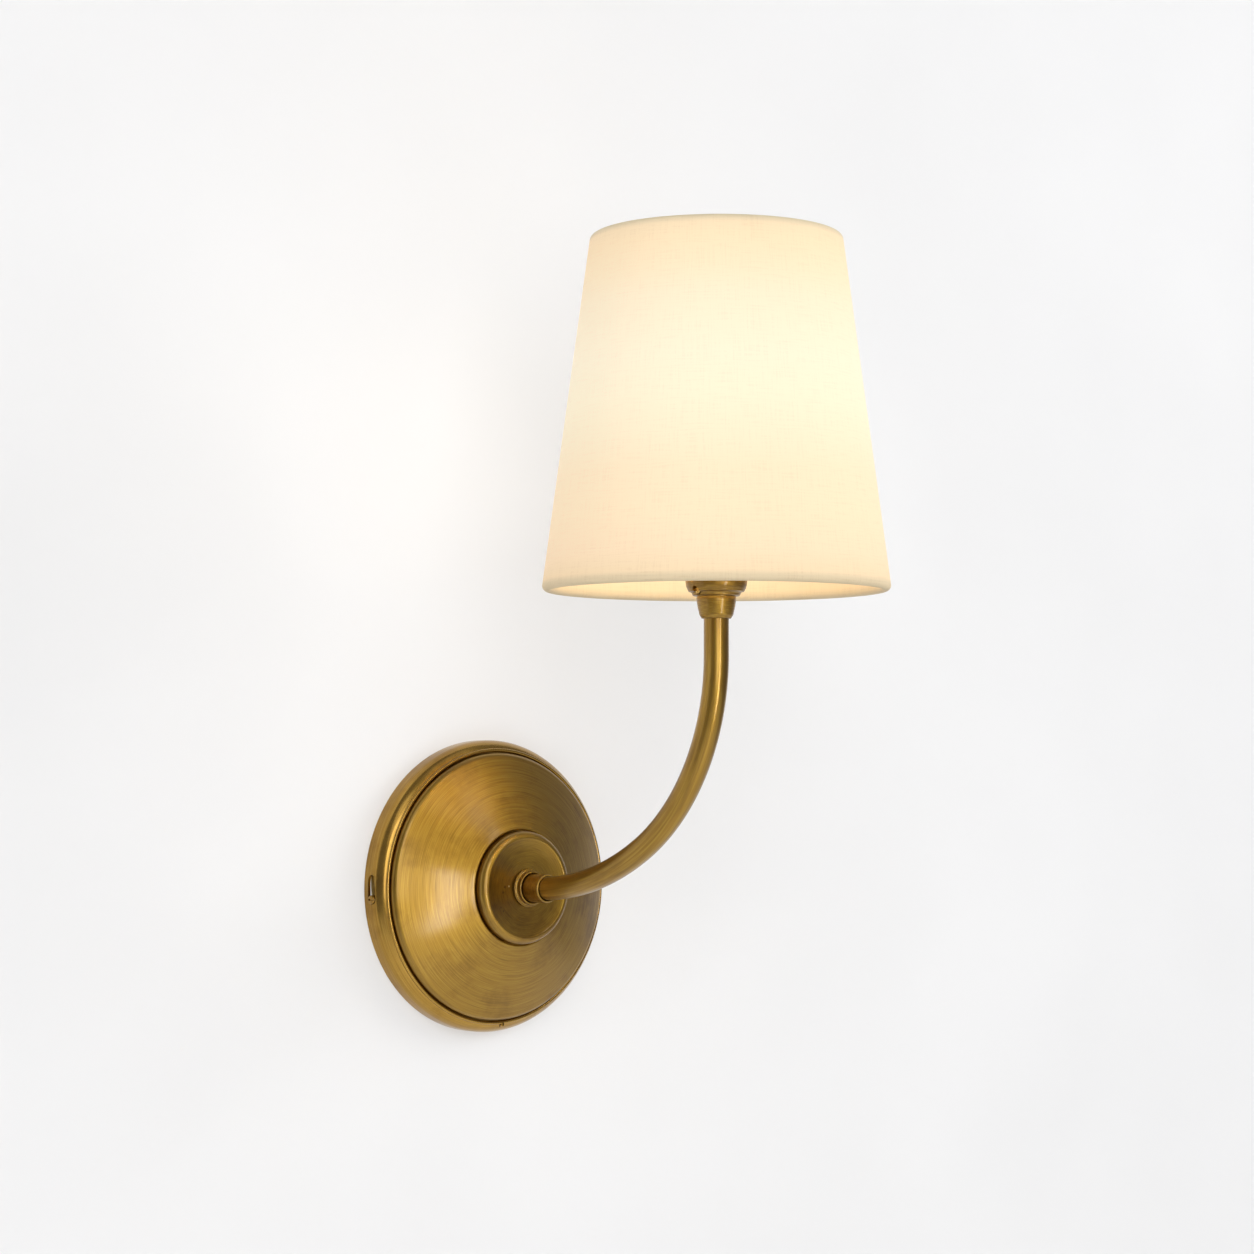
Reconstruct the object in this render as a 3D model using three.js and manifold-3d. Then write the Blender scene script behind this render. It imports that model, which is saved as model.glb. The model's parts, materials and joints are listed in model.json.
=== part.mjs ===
// Wall sconce: a dished brass backplate, a curved tube arm and a tapered linen shade.
// Millimetres, +Z up. The wall is the plane y = 0 and the lamp stands out towards -Y.
// The origin is the centre of the wall bracket's back face.
import * as THREE from 'three';
import { mergeVertices } from 'three/addons/utils/BufferGeometryUtils.js';
import ManifoldModule from 'manifold-3d';

const library = await ManifoldModule();
library.setup();

// ---------------------------------------------------------------- driving dimensions
const reach = 150; // wall to the shade's axis
const gap = 0.3; // between two pieces that seat on or in each other

// Backplate: a deep ring and a dished plate set into it.
const plateDiameter = 127;
const ringWall = 1.2;
const ringFillet = 0.6; // inside corner between the ring's wall and its ledge
const ringStraight = 5.6; // depth of the ring's cylindrical wall
const shoulderInset = 0.6; // the shoulder's curve leans in this far ...
const shoulderRise = 3.2; // ... at this height above the straight wall
const ringDepth = 10.9; // wall to the front edge where the bead stands
const beadInset = 4.3; // plate edge to the bead's crest
const beadRound = 0.8;
const ledgeWidth = 3.4;
const ledgeDrop = 1.3; // bead foot down to the ledge that carries the dish
const dishWall = 1.2;
const dishLip = 3.4; // radius of the dish's rolled edge
const dishSlope = THREE.MathUtils.degToRad(22.9);
const recessBevel = 0.5; // rounded lip of the hub's recess, across and down
const recessBevelDrop = 0.25;
const recessDrop = 1.8;
const recessUnderside = 1.5; // how far the recess's floor runs out behind the cone

// Hub: a shallow cup in a recess of the dish, with the neck that carries the arm.
const cupRadius = 24.4;
const cupWall = 1.2;
const cupSideHeight = 2.9;
const cupRound = 3.1;
const faceDrop = 0.2; // the cup's face falls this much towards its edge ...
const faceBand = 0.5; // ... inside a band this wide
const collarRadius = 8.3;
const collarHeight = 3.4;
const collarFoot = 1; // height of the collar's lower bead
const collarLip = 7.2; // radius of its upper bead
const collarRound = 0.35;
const sleeveRadius = 6.05;
const sleeveLength = 13.2;
const sleeveRound = 0.6;

// Arm: one tube bent in two arcs, from level at the neck to upright under the lampholder.
const tubeRadius = 5.05;
const tubeBore = 3.8;
const bendInSleeve = 6; // the first bend starts this far inside the neck sleeve
const firstBendRadius = 129.8;
const firstBendAngle = THREE.MathUtils.degToRad(30.5);
const uprightLength = 14.5; // straight stretch between the bend and the lampholder
const tubeTailLength = 2; // tube standing proud behind the hub nut

// Hub fasteners on the tube's tail.
const washerRadius = 9;
const tagRadius = 8.4;
const tagWidth = 3.6;
const tagReach = 13.6; // hub axis to the crimped barrel
const barrelRadius = 1.6;
const barrelLength = 4;
const washerThickness = 1.2;
const tagThickness = 0.8;
const lockWasherRadius = 8;
const lockWasherThickness = 1;
const lockWasherTeeth = 9;
const lockToothHeight = 1.3;
const nutAcrossFlats = 14;
const nutThickness = 4;
const nutChamfer = 0.9;
const nutChamferHeight = 0.6;
const bushFlange = 1;
const bushFlangeOverlap = 0.6; // flange beyond the tube's outside
const bushRadius = 3.35;
const bushLength = 8;
const bushBore = 2.75;

// Wall bracket: a steel strap with an ear at each end, hidden behind the backplate.
const strapThickness = 2;
const strapHeight = 22;
const earHeight = 20;
const earSetback = 1.3; // ring's inner wall to the ear, measured on the axis
const earNeckStart = 14; // ear's face to where the strap has its full height
const earNeckTaper = 4;
const wallSlotSpacing = 60;
const wallSlotLength = 14;
const wallSlotWidth = 5;
const earthScrewPlace = 14;
const earthHeadRadius = 3.6;
const earthHeadHeight = 2.2;
const earthShankRadius = 1.7;

// Levelling slots through the ring, and the screws that sit in them.
const slotLength = 12.5;
const slotWidth = 4.4;
const slotDepth = 5.1; // wall to the slot's centre line
const sideHeadRadius = 1.9;
const sideShankRadius = 1.4;
const sideHeadProud = 0.5;
const sideShankBeyond = 2; // shank showing behind the ear

// Wiring.
const wireRadius = 1;
const wirePitch = 2.5; // between the two wires inside the tube
const blockWidth = 28;
const blockHeight = 16;
const blockThickness = 10;
const blockDepth = 5.5; // wall to the block's back
const blockDrop = 22; // hub axis down to the block
const wayPitch = 8.5;
const wayBore = 1.5;
const blockScrewRadius = 1.5;
const blockScrewInset = 4; // block's end to its screws
const blockScrewSunk = 0.4;
const blockLobeDrop = 1; // the lobes stand this much proud of the base's middle
const wireTuck = 1.5; // how far each wire passes the block's middle

// Lampholder, in heights above its own foot.
const capFootRadius = 6.1;
const capFlare = 1.75; // how far the neck flares from foot to waist
const capWaistHeight = 8.9;
const capBowlFoot = 8.3; // radius where the bowl springs from the waist
const capBowlPull = 3.95; // the bowl's curve leans out this far past the waist ...
const capBowlRise = 0.9; // ... at this height above it
const capRadius = 12.35;
const capFloor = 13.2;
const capHeight = 17;
const holderWall = 1.15;
const grubHeight = 11;
const grubRadius = 1.45;
const grubSunk = 1.9; // cap's side to the grub screw's slot
const tubeInCap = 1; // tube standing above the cap's floor
const wiringChamber = 6;
const coreFloor = 7;
const socketDepth = 19;
const socketRadius = 7.15; // inside of the threaded shell
const socketWall = 0.35;
const socketOpening = 4; // hole in the threaded shell's floor
const contactHeight = 1.6;
const contactRadius = 2.6;
const coreStep = 0.4; // core is slimmer than its seat in the cap
const coreFootStep = 2.4;
const shellBeadPlace = 7.25; // shell's foot to its raised band
const shellBead = 0.5;
const shellBeadWidth = 2.5;
const shellLip = 0.8;
const terminalPlace = 5; // lamp axis to each terminal
const terminalRise = 2.1; // core's foot to the terminal screws
const terminalDepth = 3.6;
const terminalScrewRadius = 1.3;
const wireHoleSlack = 0.7;

// Lamp: a frosted candle bulb on a small screw cap.
const lampBaseRadius = 6.85;
const lampBaseLength = 17.2;
const lampNeckRadius = 6.1;
const lampRadius = 17.5;
const lampGlassLength = 91.5;
const glassWall = 1;
const lampTipRadius = 2.2;
const lampTipHeight = 1.1;
const insulatorHeight = 1.8;
const insulatorFoot = 4.2;
const insulatorPlug = 1.6; // part of the insulator inside the cap
const glassInBase = 13; // bulb's neck sunk into its metal base
const widestPlace = 41.5; // bulb's foot to its widest place
const baseFlare = 0.25;
const baseFlareHeight = 2;
const stemHeight = 28;
const stemRadius = 1.7;
const stemFlare = 2.4;
const stemSkirt = 2; // height of the stem's skirt in the bulb's neck
const stemPress = 1; // height of the flare that holds the filament
const filamentHeight = 22.5;
const filamentSpread = 6.4;
const filamentRadius = 0.35;

// Shade: linen on a stiff liner, rolled over a wire ring at each end.
const shadeBottomDiameter = 139;
const shadeTopDiameter = 101.2;
const shadeHeight = 141.6;
const shadeOverlap = 10.8; // lampholder's foot up to the shade's lower edge
const fabricThickness = 0.5;
const linerThickness = 0.5;
const ringWire = 1.25; // radius of the two ring wires
const hemWidth = 9;
const armWire = 1;
const armFlat = 5; // the arm leaves the hub almost level for this far ...
const armFlatRise = 0.4;
const armCrank = 8; // ... and climbs this last stretch to the ring
const armCrankRise = 3.4;
const clipWire = 0.8;
const clipSpread = THREE.MathUtils.degToRad(36);
const clipReachBelow = 11; // how far the loops reach below the bulb's widest part
const clipBow = 3; // height of the bow at the foot of each loop
const clipHubRadius = 6.8;
const clipHubBore = 3.2;
const clipHubThickness = 2;
const clipHeadroom = 3.4; // bulb tip to the clip's hub
const clipLoopClear = 0.5; // loops to the glass, beyond the gap
const hemSlitBeyond = 3; // slits for the arms, past the hem each way

// Facets of the round pieces.
const plateSides = 36;
const hubSides = 28;
const shadeSides = 30;
const turnedSides = 18;
const smallSides = 12;
const screwSides = 10;
const wireSides = 5;

// ---------------------------------------------------------------- derived places
const plateRadius = plateDiameter / 2;
const ringInner = plateRadius - ringWall;
const beadRadius = plateRadius - beadInset;
const ledgeDepth = ringDepth - ledgeDrop;
const tubeHole = tubeRadius + gap;
const dishEdge = beadRadius - beadRound - gap;
const lipCentre = new THREE.Vector2(dishEdge - dishLip, ledgeDepth + gap + ledgeDrop);
const recessRadius = cupRadius + gap;
const recessLip = recessRadius + recessBevel + gap / 3;
const lipNormal = Math.PI / 2 - dishSlope;
const dishTop = lipCentre.y + dishLip * Math.sin(lipNormal)
  + (lipCentre.x + dishLip * Math.cos(lipNormal) - recessLip) * Math.tan(dishSlope);
const hubFloor = dishTop - recessDrop;
const cupFace = hubFloor + gap + cupSideHeight + cupRound;
const neckSeat = cupFace + gap;
const neckEnd = neckSeat + sleeveLength;

const washerBack = hubFloor - dishWall - gap - washerThickness;
const tagBack = washerBack - gap - tagThickness;
const lockWasherBack = tagBack - gap - lockWasherThickness;
const nutBack = lockWasherBack - gap - nutThickness;
const tubeTail = nutBack - tubeTailLength;

const earFace = ringInner - earSetback;
const earDepth = ledgeDepth - ringWall - 2 * gap;
const sideHeadHeight = plateRadius + sideHeadProud - earFace - gap;
const slotTravel = slotLength / 2 - sideHeadRadius - gap;
const bracketTurn = slotTravel / (plateRadius - ringWall / 2);

const bendSine = Math.sin(firstBendAngle);
const bendStart = neckEnd - bendInSleeve;
const secondBendRadius = (reach - bendStart - firstBendRadius * bendSine) / (1 - bendSine);
const bendTop = firstBendRadius * (1 - Math.cos(firstBendAngle))
  + secondBendRadius * Math.cos(firstBendAngle);
const holderFoot = bendTop + uprightLength;
const tubeTop = capFloor + tubeInCap;
const coreBottom = capFloor + gap + wiringChamber;
const socketFloor = coreBottom + coreFloor;
const coreTop = socketFloor + socketDepth;
const contactTop = socketFloor + contactHeight;

const lampTipBottom = contactTop + gap;
const lampTipTop = lampTipBottom + lampTipHeight;
const insulatorTop = lampTipTop + gap + insulatorHeight;
const lampBaseTop = insulatorTop + gap + lampBaseLength;
const glassFoot = lampBaseTop - glassInBase;
const glassTop = glassFoot + lampGlassLength;
const widestHeight = glassFoot + widestPlace;

const shadeBottom = shadeOverlap;
const shadeTop = shadeBottom + shadeHeight;
const rollRadius = ringWire + gap + fabricThickness;
const clipHubBottom = glassTop + clipHeadroom;

// ---------------------------------------------------------------- finishes
const finish = (color, metalness, roughness) =>
  new THREE.MeshStandardMaterial({ color, metalness, roughness });
const agedBrass = finish(0xa07a35, 1, 0.38);
const plainBrass = finish(0xc2a15a, 1, 0.35);
const zincSteel = finish(0xb4b6b4, 1, 0.42);
const yellowZinc = finish(0xb9a05c, 1, 0.42);
const springSteel = finish(0xa8a59c, 1, 0.3);
const whiteNylon = finish(0xe9e6da, 0, 0.5);
const steatite = finish(0xefe9dc, 0, 0.45);
const brownSleeve = finish(0x6b4023, 0, 0.5);
const blueSleeve = finish(0x2f5f9f, 0, 0.5);
const earthSleeve = finish(0x6f9a3a, 0, 0.5);
const frostedGlass = finish(0xfff3d8, 0, 0.35);
const blackGlass = finish(0x1c1a19, 0, 0.3);
const tungsten = finish(0xd8b67a, 1, 0.4);
const linen = finish(0xf3e6cb, 0, 0.9);
const styrene = finish(0xf8f1df, 0, 0.6);

// ---------------------------------------------------------------- shape helpers
// Welds a geometry into one closed body: shared corners, no slivers, faces pointing out.
function weld(geometry) {
  const bare = geometry.clone();
  bare.deleteAttribute('normal');
  bare.deleteAttribute('uv');
  const merged = mergeVertices(bare, 1e-4);
  const corners = merged.index.array;
  const kept = [];
  for (let i = 0; i < corners.length; i += 3) {
    const [a, b, c] = corners.slice(i, i + 3);
    if (a !== b && b !== c && c !== a) kept.push(a, b, c);
  }
  if (volume(merged.attributes.position, kept) < 0) kept.reverse();
  merged.setIndex(kept);
  merged.computeVertexNormals();
  return merged;
}

function volume(position, corners) {
  const [a, b, c] = [new THREE.Vector3(), new THREE.Vector3(), new THREE.Vector3()];
  let sum = 0;
  for (let i = 0; i < corners.length; i += 3) {
    a.fromBufferAttribute(position, corners[i]);
    b.fromBufferAttribute(position, corners[i + 1]);
    c.fromBufferAttribute(position, corners[i + 2]);
    sum += a.dot(b.cross(c)) / 6;
  }
  return sum;
}

function toSolid(geometry) {
  const welded = weld(geometry);
  return new library.Manifold(new library.Mesh({
    numProp: 3,
    vertProperties: new Float32Array(welded.attributes.position.array),
    triVerts: new Uint32Array(welded.index.array),
  }));
}

function toGeometry(solid) {
  const mesh = solid.getMesh();
  const geometry = new THREE.BufferGeometry();
  geometry.setAttribute('position', new THREE.BufferAttribute(mesh.vertProperties, 3));
  geometry.setIndex(new THREE.BufferAttribute(mesh.triVerts, 1));
  return geometry;
}

function cut(geometry, ...tools) {
  const solid = tools.reduce((left, tool) => left.subtract(toSolid(tool)), toSolid(geometry));
  return toGeometry(solid);
}

function join(geometry, ...others) {
  const solid = others.reduce((whole, other) => whole.add(toSolid(other)), toSolid(geometry));
  return toGeometry(solid);
}

function common(geometry, other) {
  return toGeometry(toSolid(geometry).intersect(toSolid(other)));
}

// A turned piece: [radius, height] points, anticlockwise, spun about the local Z axis.
function turned(profile, sides) {
  const points = profile.map(([radius, height]) => new THREE.Vector2(radius, height));
  const onAxis = points[0].x === 0 && points.at(-1).x === 0;
  if (!onAxis) points.push(points[0].clone());
  return weld(new THREE.LatheGeometry(points, sides).rotateX(Math.PI / 2));
}

// Points on a circular arc in a profile, both ends included.
function arc(x, y, radius, from, to, steps) {
  return Array.from({ length: steps + 1 }, (_, i) => {
    const angle = from + ((to - from) * i) / steps;
    return [x + radius * Math.cos(angle), y + radius * Math.sin(angle)];
  });
}

// The closed outline of a sheet: an open line and its copy set over to its left.
function sheet(line, thickness) {
  const copy = line.map((point, i) => {
    const before = direction(line[Math.max(i - 1, 0)], line[Math.max(i, 1)]);
    const after = direction(line[Math.min(i, line.length - 2)], line[Math.min(i + 1, line.length - 1)]);
    const scale = thickness / (1 + before[0] * after[0] + before[1] * after[1]);
    const x = point[0] - (before[1] + after[1]) * scale;
    const y = point[1] + (before[0] + after[0]) * scale;
    return [point[0] === 0 ? 0 : Math.max(x, 0), y];
  });
  return [...line, ...copy.reverse()];
}

function direction(from, to) {
  const length = Math.hypot(to[0] - from[0], to[1] - from[1]);
  return [(to[0] - from[0]) / length, (to[1] - from[1]) / length];
}

function disc(radius, sides) {
  return arc(0, 0, radius, 0, (2 * Math.PI * (sides - 1)) / sides, sides - 1)
    .map(([x, y]) => new THREE.Vector2(x, y));
}

function prism(shape, depth, curveSegments = 6) {
  return new THREE.ExtrudeGeometry(shape, { depth, bevelEnabled: false, curveSegments });
}

// A rod or tube swept along a curve.
function swept(curve, steps, radius, sides, bore = 0, boreSides = 8) {
  const section = new THREE.Shape(disc(radius, sides));
  if (bore > 0) section.holes.push(new THREE.Path(disc(bore, boreSides)));
  return weld(new THREE.ExtrudeGeometry(section, { steps, extrudePath: curve, bevelEnabled: false }));
}

function rod(radius, from, to, sides) {
  return turned([[0, from], [radius, from], [radius, to], [0, to]], sides);
}

function obround(length, width) {
  const reachEachWay = (length - width) / 2;
  const shape = new THREE.Shape();
  shape.absarc(reachEachWay, 0, width / 2, -Math.PI / 2, Math.PI / 2, false);
  shape.absarc(-reachEachWay, 0, width / 2, Math.PI / 2, (3 * Math.PI) / 2, false);
  return shape;
}

function box(width, height, depth, x = 0, y = 0, z = 0) {
  return new THREE.BoxGeometry(width, height, depth).translate(x, y, z);
}

// A slotted screw along +Z: the head stands on z = 0 and the shank runs down.
function slottedScrew(headRadius, headHeight, shankRadius, shankLength) {
  const round = Math.min(headHeight, headRadius) * 0.35;
  const blank = turned([
    [0, -shankLength], [shankRadius, -shankLength], [shankRadius, 0], [headRadius, 0],
    [headRadius, headHeight - round], [headRadius - round, headHeight], [0, headHeight],
  ], screwSides);
  const slot = box(headRadius * 2.2, headRadius * 0.4, headHeight * 0.8, 0, 0, headHeight);
  return cut(blank, slot);
}

// ---------------------------------------------------------------- groups
// Wall pieces are drawn as seen from the front: x right, y up, z out of the wall.
// Lamp pieces stand on the lampholder's foot, with z up along the lamp's axis.
const sconce = new THREE.Group();
const wallSide = new THREE.Group();
wallSide.rotation.x = Math.PI / 2;
const bracketSide = new THREE.Group();
bracketSide.rotation.z = bracketTurn;
const lampSide = new THREE.Group();
lampSide.position.set(0, -reach, holderFoot);
wallSide.add(bracketSide);
sconce.add(wallSide, lampSide);

function add(group, name, geometry, material) {
  const mesh = new THREE.Mesh(weld(geometry), material);
  mesh.name = name;
  group.add(mesh);
  return mesh;
}

// ---------------------------------------------------------------- wall bracket
function wallBracket() {
  const bend = strapThickness;
  const side = new THREE.Shape();
  side.moveTo(-earFace, earDepth);
  side.lineTo(-earFace, bend);
  side.absarc(-earFace + bend, bend, bend, Math.PI, 1.5 * Math.PI, false);
  side.lineTo(earFace - bend, 0);
  side.absarc(earFace - bend, bend, bend, -Math.PI / 2, 0, false);
  side.lineTo(earFace, earDepth);
  side.lineTo(earFace - strapThickness, earDepth);
  side.lineTo(earFace - strapThickness, strapThickness);
  side.lineTo(-earFace + strapThickness, strapThickness);
  side.lineTo(-earFace + strapThickness, earDepth);
  const channel = prism(side, strapHeight, 3).translate(0, 0, -strapHeight / 2).rotateX(Math.PI / 2);

  const beyond = 1; // the cutting outline overshoots the strap
  const shoulderPlace = earFace - earNeckStart;
  const neckPlace = shoulderPlace + earNeckTaper;
  const end = earFace + beyond;
  const front = new THREE.Shape();
  front.moveTo(-end, -earHeight / 2);
  front.lineTo(-neckPlace, -earHeight / 2);
  front.lineTo(-shoulderPlace, -strapHeight / 2);
  front.lineTo(shoulderPlace, -strapHeight / 2);
  front.lineTo(neckPlace, -earHeight / 2);
  front.lineTo(end, -earHeight / 2);
  front.lineTo(end, earHeight / 2);
  front.lineTo(neckPlace, earHeight / 2);
  front.lineTo(shoulderPlace, strapHeight / 2);
  front.lineTo(-shoulderPlace, strapHeight / 2);
  front.lineTo(-neckPlace, earHeight / 2);
  front.lineTo(-end, earHeight / 2);
  const blank = common(channel, prism(front, earDepth + 2 * beyond).translate(0, 0, -beyond));

  const slots = [-1, 1].map((hand) => prism(obround(wallSlotLength, wallSlotWidth), strapThickness * 3)
    .translate((hand * wallSlotSpacing) / 2, 0, -strapThickness));
  const earHole = rod(sideShankRadius + gap, -end, end, screwSides)
    .rotateY(Math.PI / 2).translate(0, 0, slotDepth);
  const earthHole = rod(earthShankRadius + gap, -beyond, strapThickness + beyond, screwSides)
    .translate(earthScrewPlace, 0, 0);
  return cut(blank, ...slots, earHole, earthHole);
}

add(bracketSide, 'wall_bracket', wallBracket(), yellowZinc);
[['side_screw_left', -1], ['side_screw_right', 1]].forEach(([name, hand]) => {
  const shankLength = strapThickness + gap + sideShankBeyond;
  const screw = add(bracketSide, name,
    slottedScrew(sideHeadRadius, sideHeadHeight, sideShankRadius, shankLength), agedBrass);
  screw.rotation.y = (hand * Math.PI) / 2;
  screw.position.set(hand * (earFace + gap), 0, slotDepth);
});
const earthScrew = add(bracketSide, 'bracket_earth_screw',
  slottedScrew(earthHeadRadius, earthHeadHeight, earthShankRadius, strapThickness), plainBrass);
earthScrew.position.set(earthScrewPlace, 0, strapThickness + gap);

// ---------------------------------------------------------------- backplate
function backplateRing() {
  const shoulder = new THREE.QuadraticBezierCurve(
    new THREE.Vector2(plateRadius, ringStraight),
    new THREE.Vector2(plateRadius - shoulderInset, ringStraight + shoulderRise),
    new THREE.Vector2(beadRadius + beadRound, ringDepth),
  ).getPoints(4).map(({ x, y }) => [x, y]);
  const ledgeInner = beadRadius - beadRound - ledgeWidth;
  const ledgeBack = ledgeDepth - ringWall;
  const ring = turned([
    [ringInner, 0], [plateRadius, 0], ...shoulder,
    ...arc(beadRadius, ringDepth, beadRound, Math.PI / 4, Math.PI, 3),
    [beadRadius - beadRound, ledgeDepth], [ledgeInner, ledgeDepth], [ledgeInner, ledgeBack],
    [ringInner - ringFillet, ledgeBack], [ringInner, ledgeBack - ringFillet],
  ], plateSides);
  const slots = prism(obround(slotLength, slotWidth), 2 * plateRadius + 4)
    .translate(0, 0, -plateRadius - 2).rotateZ(Math.PI / 2).rotateY(Math.PI / 2)
    .translate(0, 0, slotDepth);
  return cut(ring, slots);
}

function backplateDish() {
  const underFlat = hubFloor - dishWall;
  const underStep = underFlat + 2 * dishWall / 3;
  const coneStart = dishLip * Math.sin(lipNormal) + lipCentre.y;
  const coneStartRadius = dishLip * Math.cos(lipNormal) + lipCentre.x;
  const underCone = (depth) => coneStartRadius - dishWall * Math.cos(lipNormal)
    - (depth - coneStart + dishWall * Math.sin(lipNormal)) / Math.tan(dishSlope);
  return turned([
    [dishEdge - dishWall, ledgeDepth + gap], [dishEdge, ledgeDepth + gap],
    ...arc(lipCentre.x, lipCentre.y, dishLip, 0, lipNormal, 4),
    [recessLip, dishTop], [recessLip - recessBevel, dishTop - recessBevelDrop], [recessRadius, hubFloor],
    [tubeHole, hubFloor], [tubeHole, underFlat],
    [recessRadius + recessUnderside, underFlat], [underCone(underStep), underStep],
    ...arc(lipCentre.x, lipCentre.y, dishLip - dishWall, lipNormal, 0, 2),
  ], plateSides);
}

add(wallSide, 'backplate_ring', backplateRing(), agedBrass);
add(wallSide, 'backplate_dish', backplateDish(), agedBrass);

// ---------------------------------------------------------------- hub
function hubCup() {
  const roundCentre = cupFace - cupRound;
  const faceEdge = cupRadius - cupRound;
  return turned([
    [cupRadius - cupWall, hubFloor + gap], [cupRadius, hubFloor + gap],
    ...arc(faceEdge, roundCentre, cupRound, 0, Math.PI / 2, 4),
    [faceEdge - faceBand, cupFace - faceDrop], [collarRadius * 1.25, cupFace], [tubeHole, cupFace],
    [tubeHole, cupFace - cupWall], [faceEdge - faceBand, cupFace - cupWall - faceDrop],
    [cupRadius - cupWall, roundCentre],
  ], hubSides);
}

function collarRing() {
  const inner = sleeveRadius + gap;
  const [foot, top] = [neckSeat + collarFoot, neckSeat + collarHeight];
  return turned([
    [inner, neckSeat], [collarRadius, neckSeat], [collarRadius, foot],
    [collarRadius - collarRound, foot + collarRound], [collarLip, top - 2 * collarRound],
    [collarLip, top - collarRound], [collarLip - collarRound, top], [inner, top],
  ], turnedSides);
}

function neckSleeve() {
  return turned([
    [tubeHole, neckSeat], [sleeveRadius, neckSeat],
    ...arc(sleeveRadius - sleeveRound, neckEnd - sleeveRound, sleeveRound, 0, Math.PI / 2, 2),
    [tubeHole, neckEnd],
  ], turnedSides);
}

add(wallSide, 'hub_cup', hubCup(), agedBrass);
add(wallSide, 'collar_ring', collarRing(), agedBrass);
add(wallSide, 'neck_sleeve', neckSleeve(), agedBrass);

// ---------------------------------------------------------------- hub fasteners
function washer(outer, inner, back, thickness, sides) {
  return turned([[inner, back], [outer, back], [outer, back + thickness], [inner, back + thickness]],
    sides);
}

function lockWasher() {
  const outline = Array.from({ length: lockWasherTeeth * 2 }, (_, i) => {
    const radius = i % 2 ? lockWasherRadius : lockWasherRadius - lockToothHeight;
    const angle = (Math.PI * i) / lockWasherTeeth;
    return new THREE.Vector2(radius * Math.cos(angle), radius * Math.sin(angle));
  });
  const shape = new THREE.Shape(outline);
  shape.holes.push(new THREE.Path(disc(tubeHole, smallSides)));
  return prism(shape, lockWasherThickness).translate(0, 0, lockWasherBack);
}

function hubNut() {
  const corner = nutAcrossFlats / Math.sqrt(3);
  const hex = prism(new THREE.Shape(disc(corner, 6)), nutThickness).translate(0, 0, nutBack);
  const chamfer = turned([
    [0, nutBack], [corner - nutChamfer, nutBack], [corner, nutBack + nutChamferHeight],
    [corner, nutBack + nutThickness], [0, nutBack + nutThickness],
  ], turnedSides);
  return cut(common(hex, chamfer), rod(tubeHole, nutBack - 1, nutBack + nutThickness + 1, smallSides));
}

// Ring terminal with a crimped barrel that points back towards the wall.
function earthTag() {
  const ring = washer(tagRadius, tubeHole, tagBack, tagThickness, smallSides);
  const tabStart = (tubeHole + tagRadius) / 2;
  const tab = box(tagWidth, tagReach - tabStart, tagThickness,
    0, -(tagReach + tabStart) / 2, tagBack + tagThickness / 2);
  const barrel = rod(barrelRadius, tagBack - barrelLength, tagBack + tagThickness / 2, screwSides)
    .translate(0, -tagReach, 0);
  return join(ring, tab, barrel);
}

function wireBushing() {
  const flangeBack = tubeTail - gap - bushFlange;
  const flangeRadius = tubeRadius + bushFlangeOverlap;
  return turned([
    [bushBore, flangeBack], [flangeRadius, flangeBack], [flangeRadius, tubeTail - gap],
    [bushRadius, tubeTail - gap], [bushRadius, tubeTail + bushLength],
    [bushBore, tubeTail + bushLength],
  ], smallSides);
}

add(wallSide, 'hub_washer', washer(washerRadius, tubeHole, washerBack, washerThickness, turnedSides),
  yellowZinc);
add(wallSide, 'earth_tag', earthTag(), plainBrass);
add(wallSide, 'lock_washer', lockWasher(), springSteel);
add(wallSide, 'hub_nut', hubNut(), plainBrass);
add(wallSide, 'wire_bushing', wireBushing(), whiteNylon);

// ---------------------------------------------------------------- arm
// The arm's centre line, by distance along it from the tube's tail behind the hub.
class ArmLine extends THREE.Curve {
  constructor(offset, tail, head) {
    super();
    this.offset = offset;
    this.lengths = [
      bendStart - tail,
      firstBendRadius * firstBendAngle,
      secondBendRadius * (Math.PI / 2 - firstBendAngle),
      uprightLength + head,
    ];
    this.tail = tail;
    this.total = this.lengths.reduce((sum, length) => sum + length, 0);
  }

  getPoint(t, target = new THREE.Vector3()) {
    const [level, first, second] = this.lengths;
    const along = t * this.total;
    if (along <= level) return target.set(this.offset, -(this.tail + along), 0);
    if (along <= level + first) {
      const angle = (along - level) / firstBendRadius;
      const out = bendStart + firstBendRadius * Math.sin(angle);
      return target.set(this.offset, -out, firstBendRadius * (1 - Math.cos(angle)));
    }
    if (along <= level + first + second) {
      const left = (level + first + second - along) / secondBendRadius;
      const out = reach - secondBendRadius * (1 - Math.cos(left));
      return target.set(this.offset, -out, bendTop - secondBendRadius * Math.sin(left));
    }
    return target.set(this.offset, -reach, bendTop + along - level - first - second);
  }
}

const armLine = new ArmLine(0, tubeTail, tubeTop);
add(sconce, 'arm_tube', swept(armLine, 33, tubeRadius, 12, tubeBore, 7), agedBrass);

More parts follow.
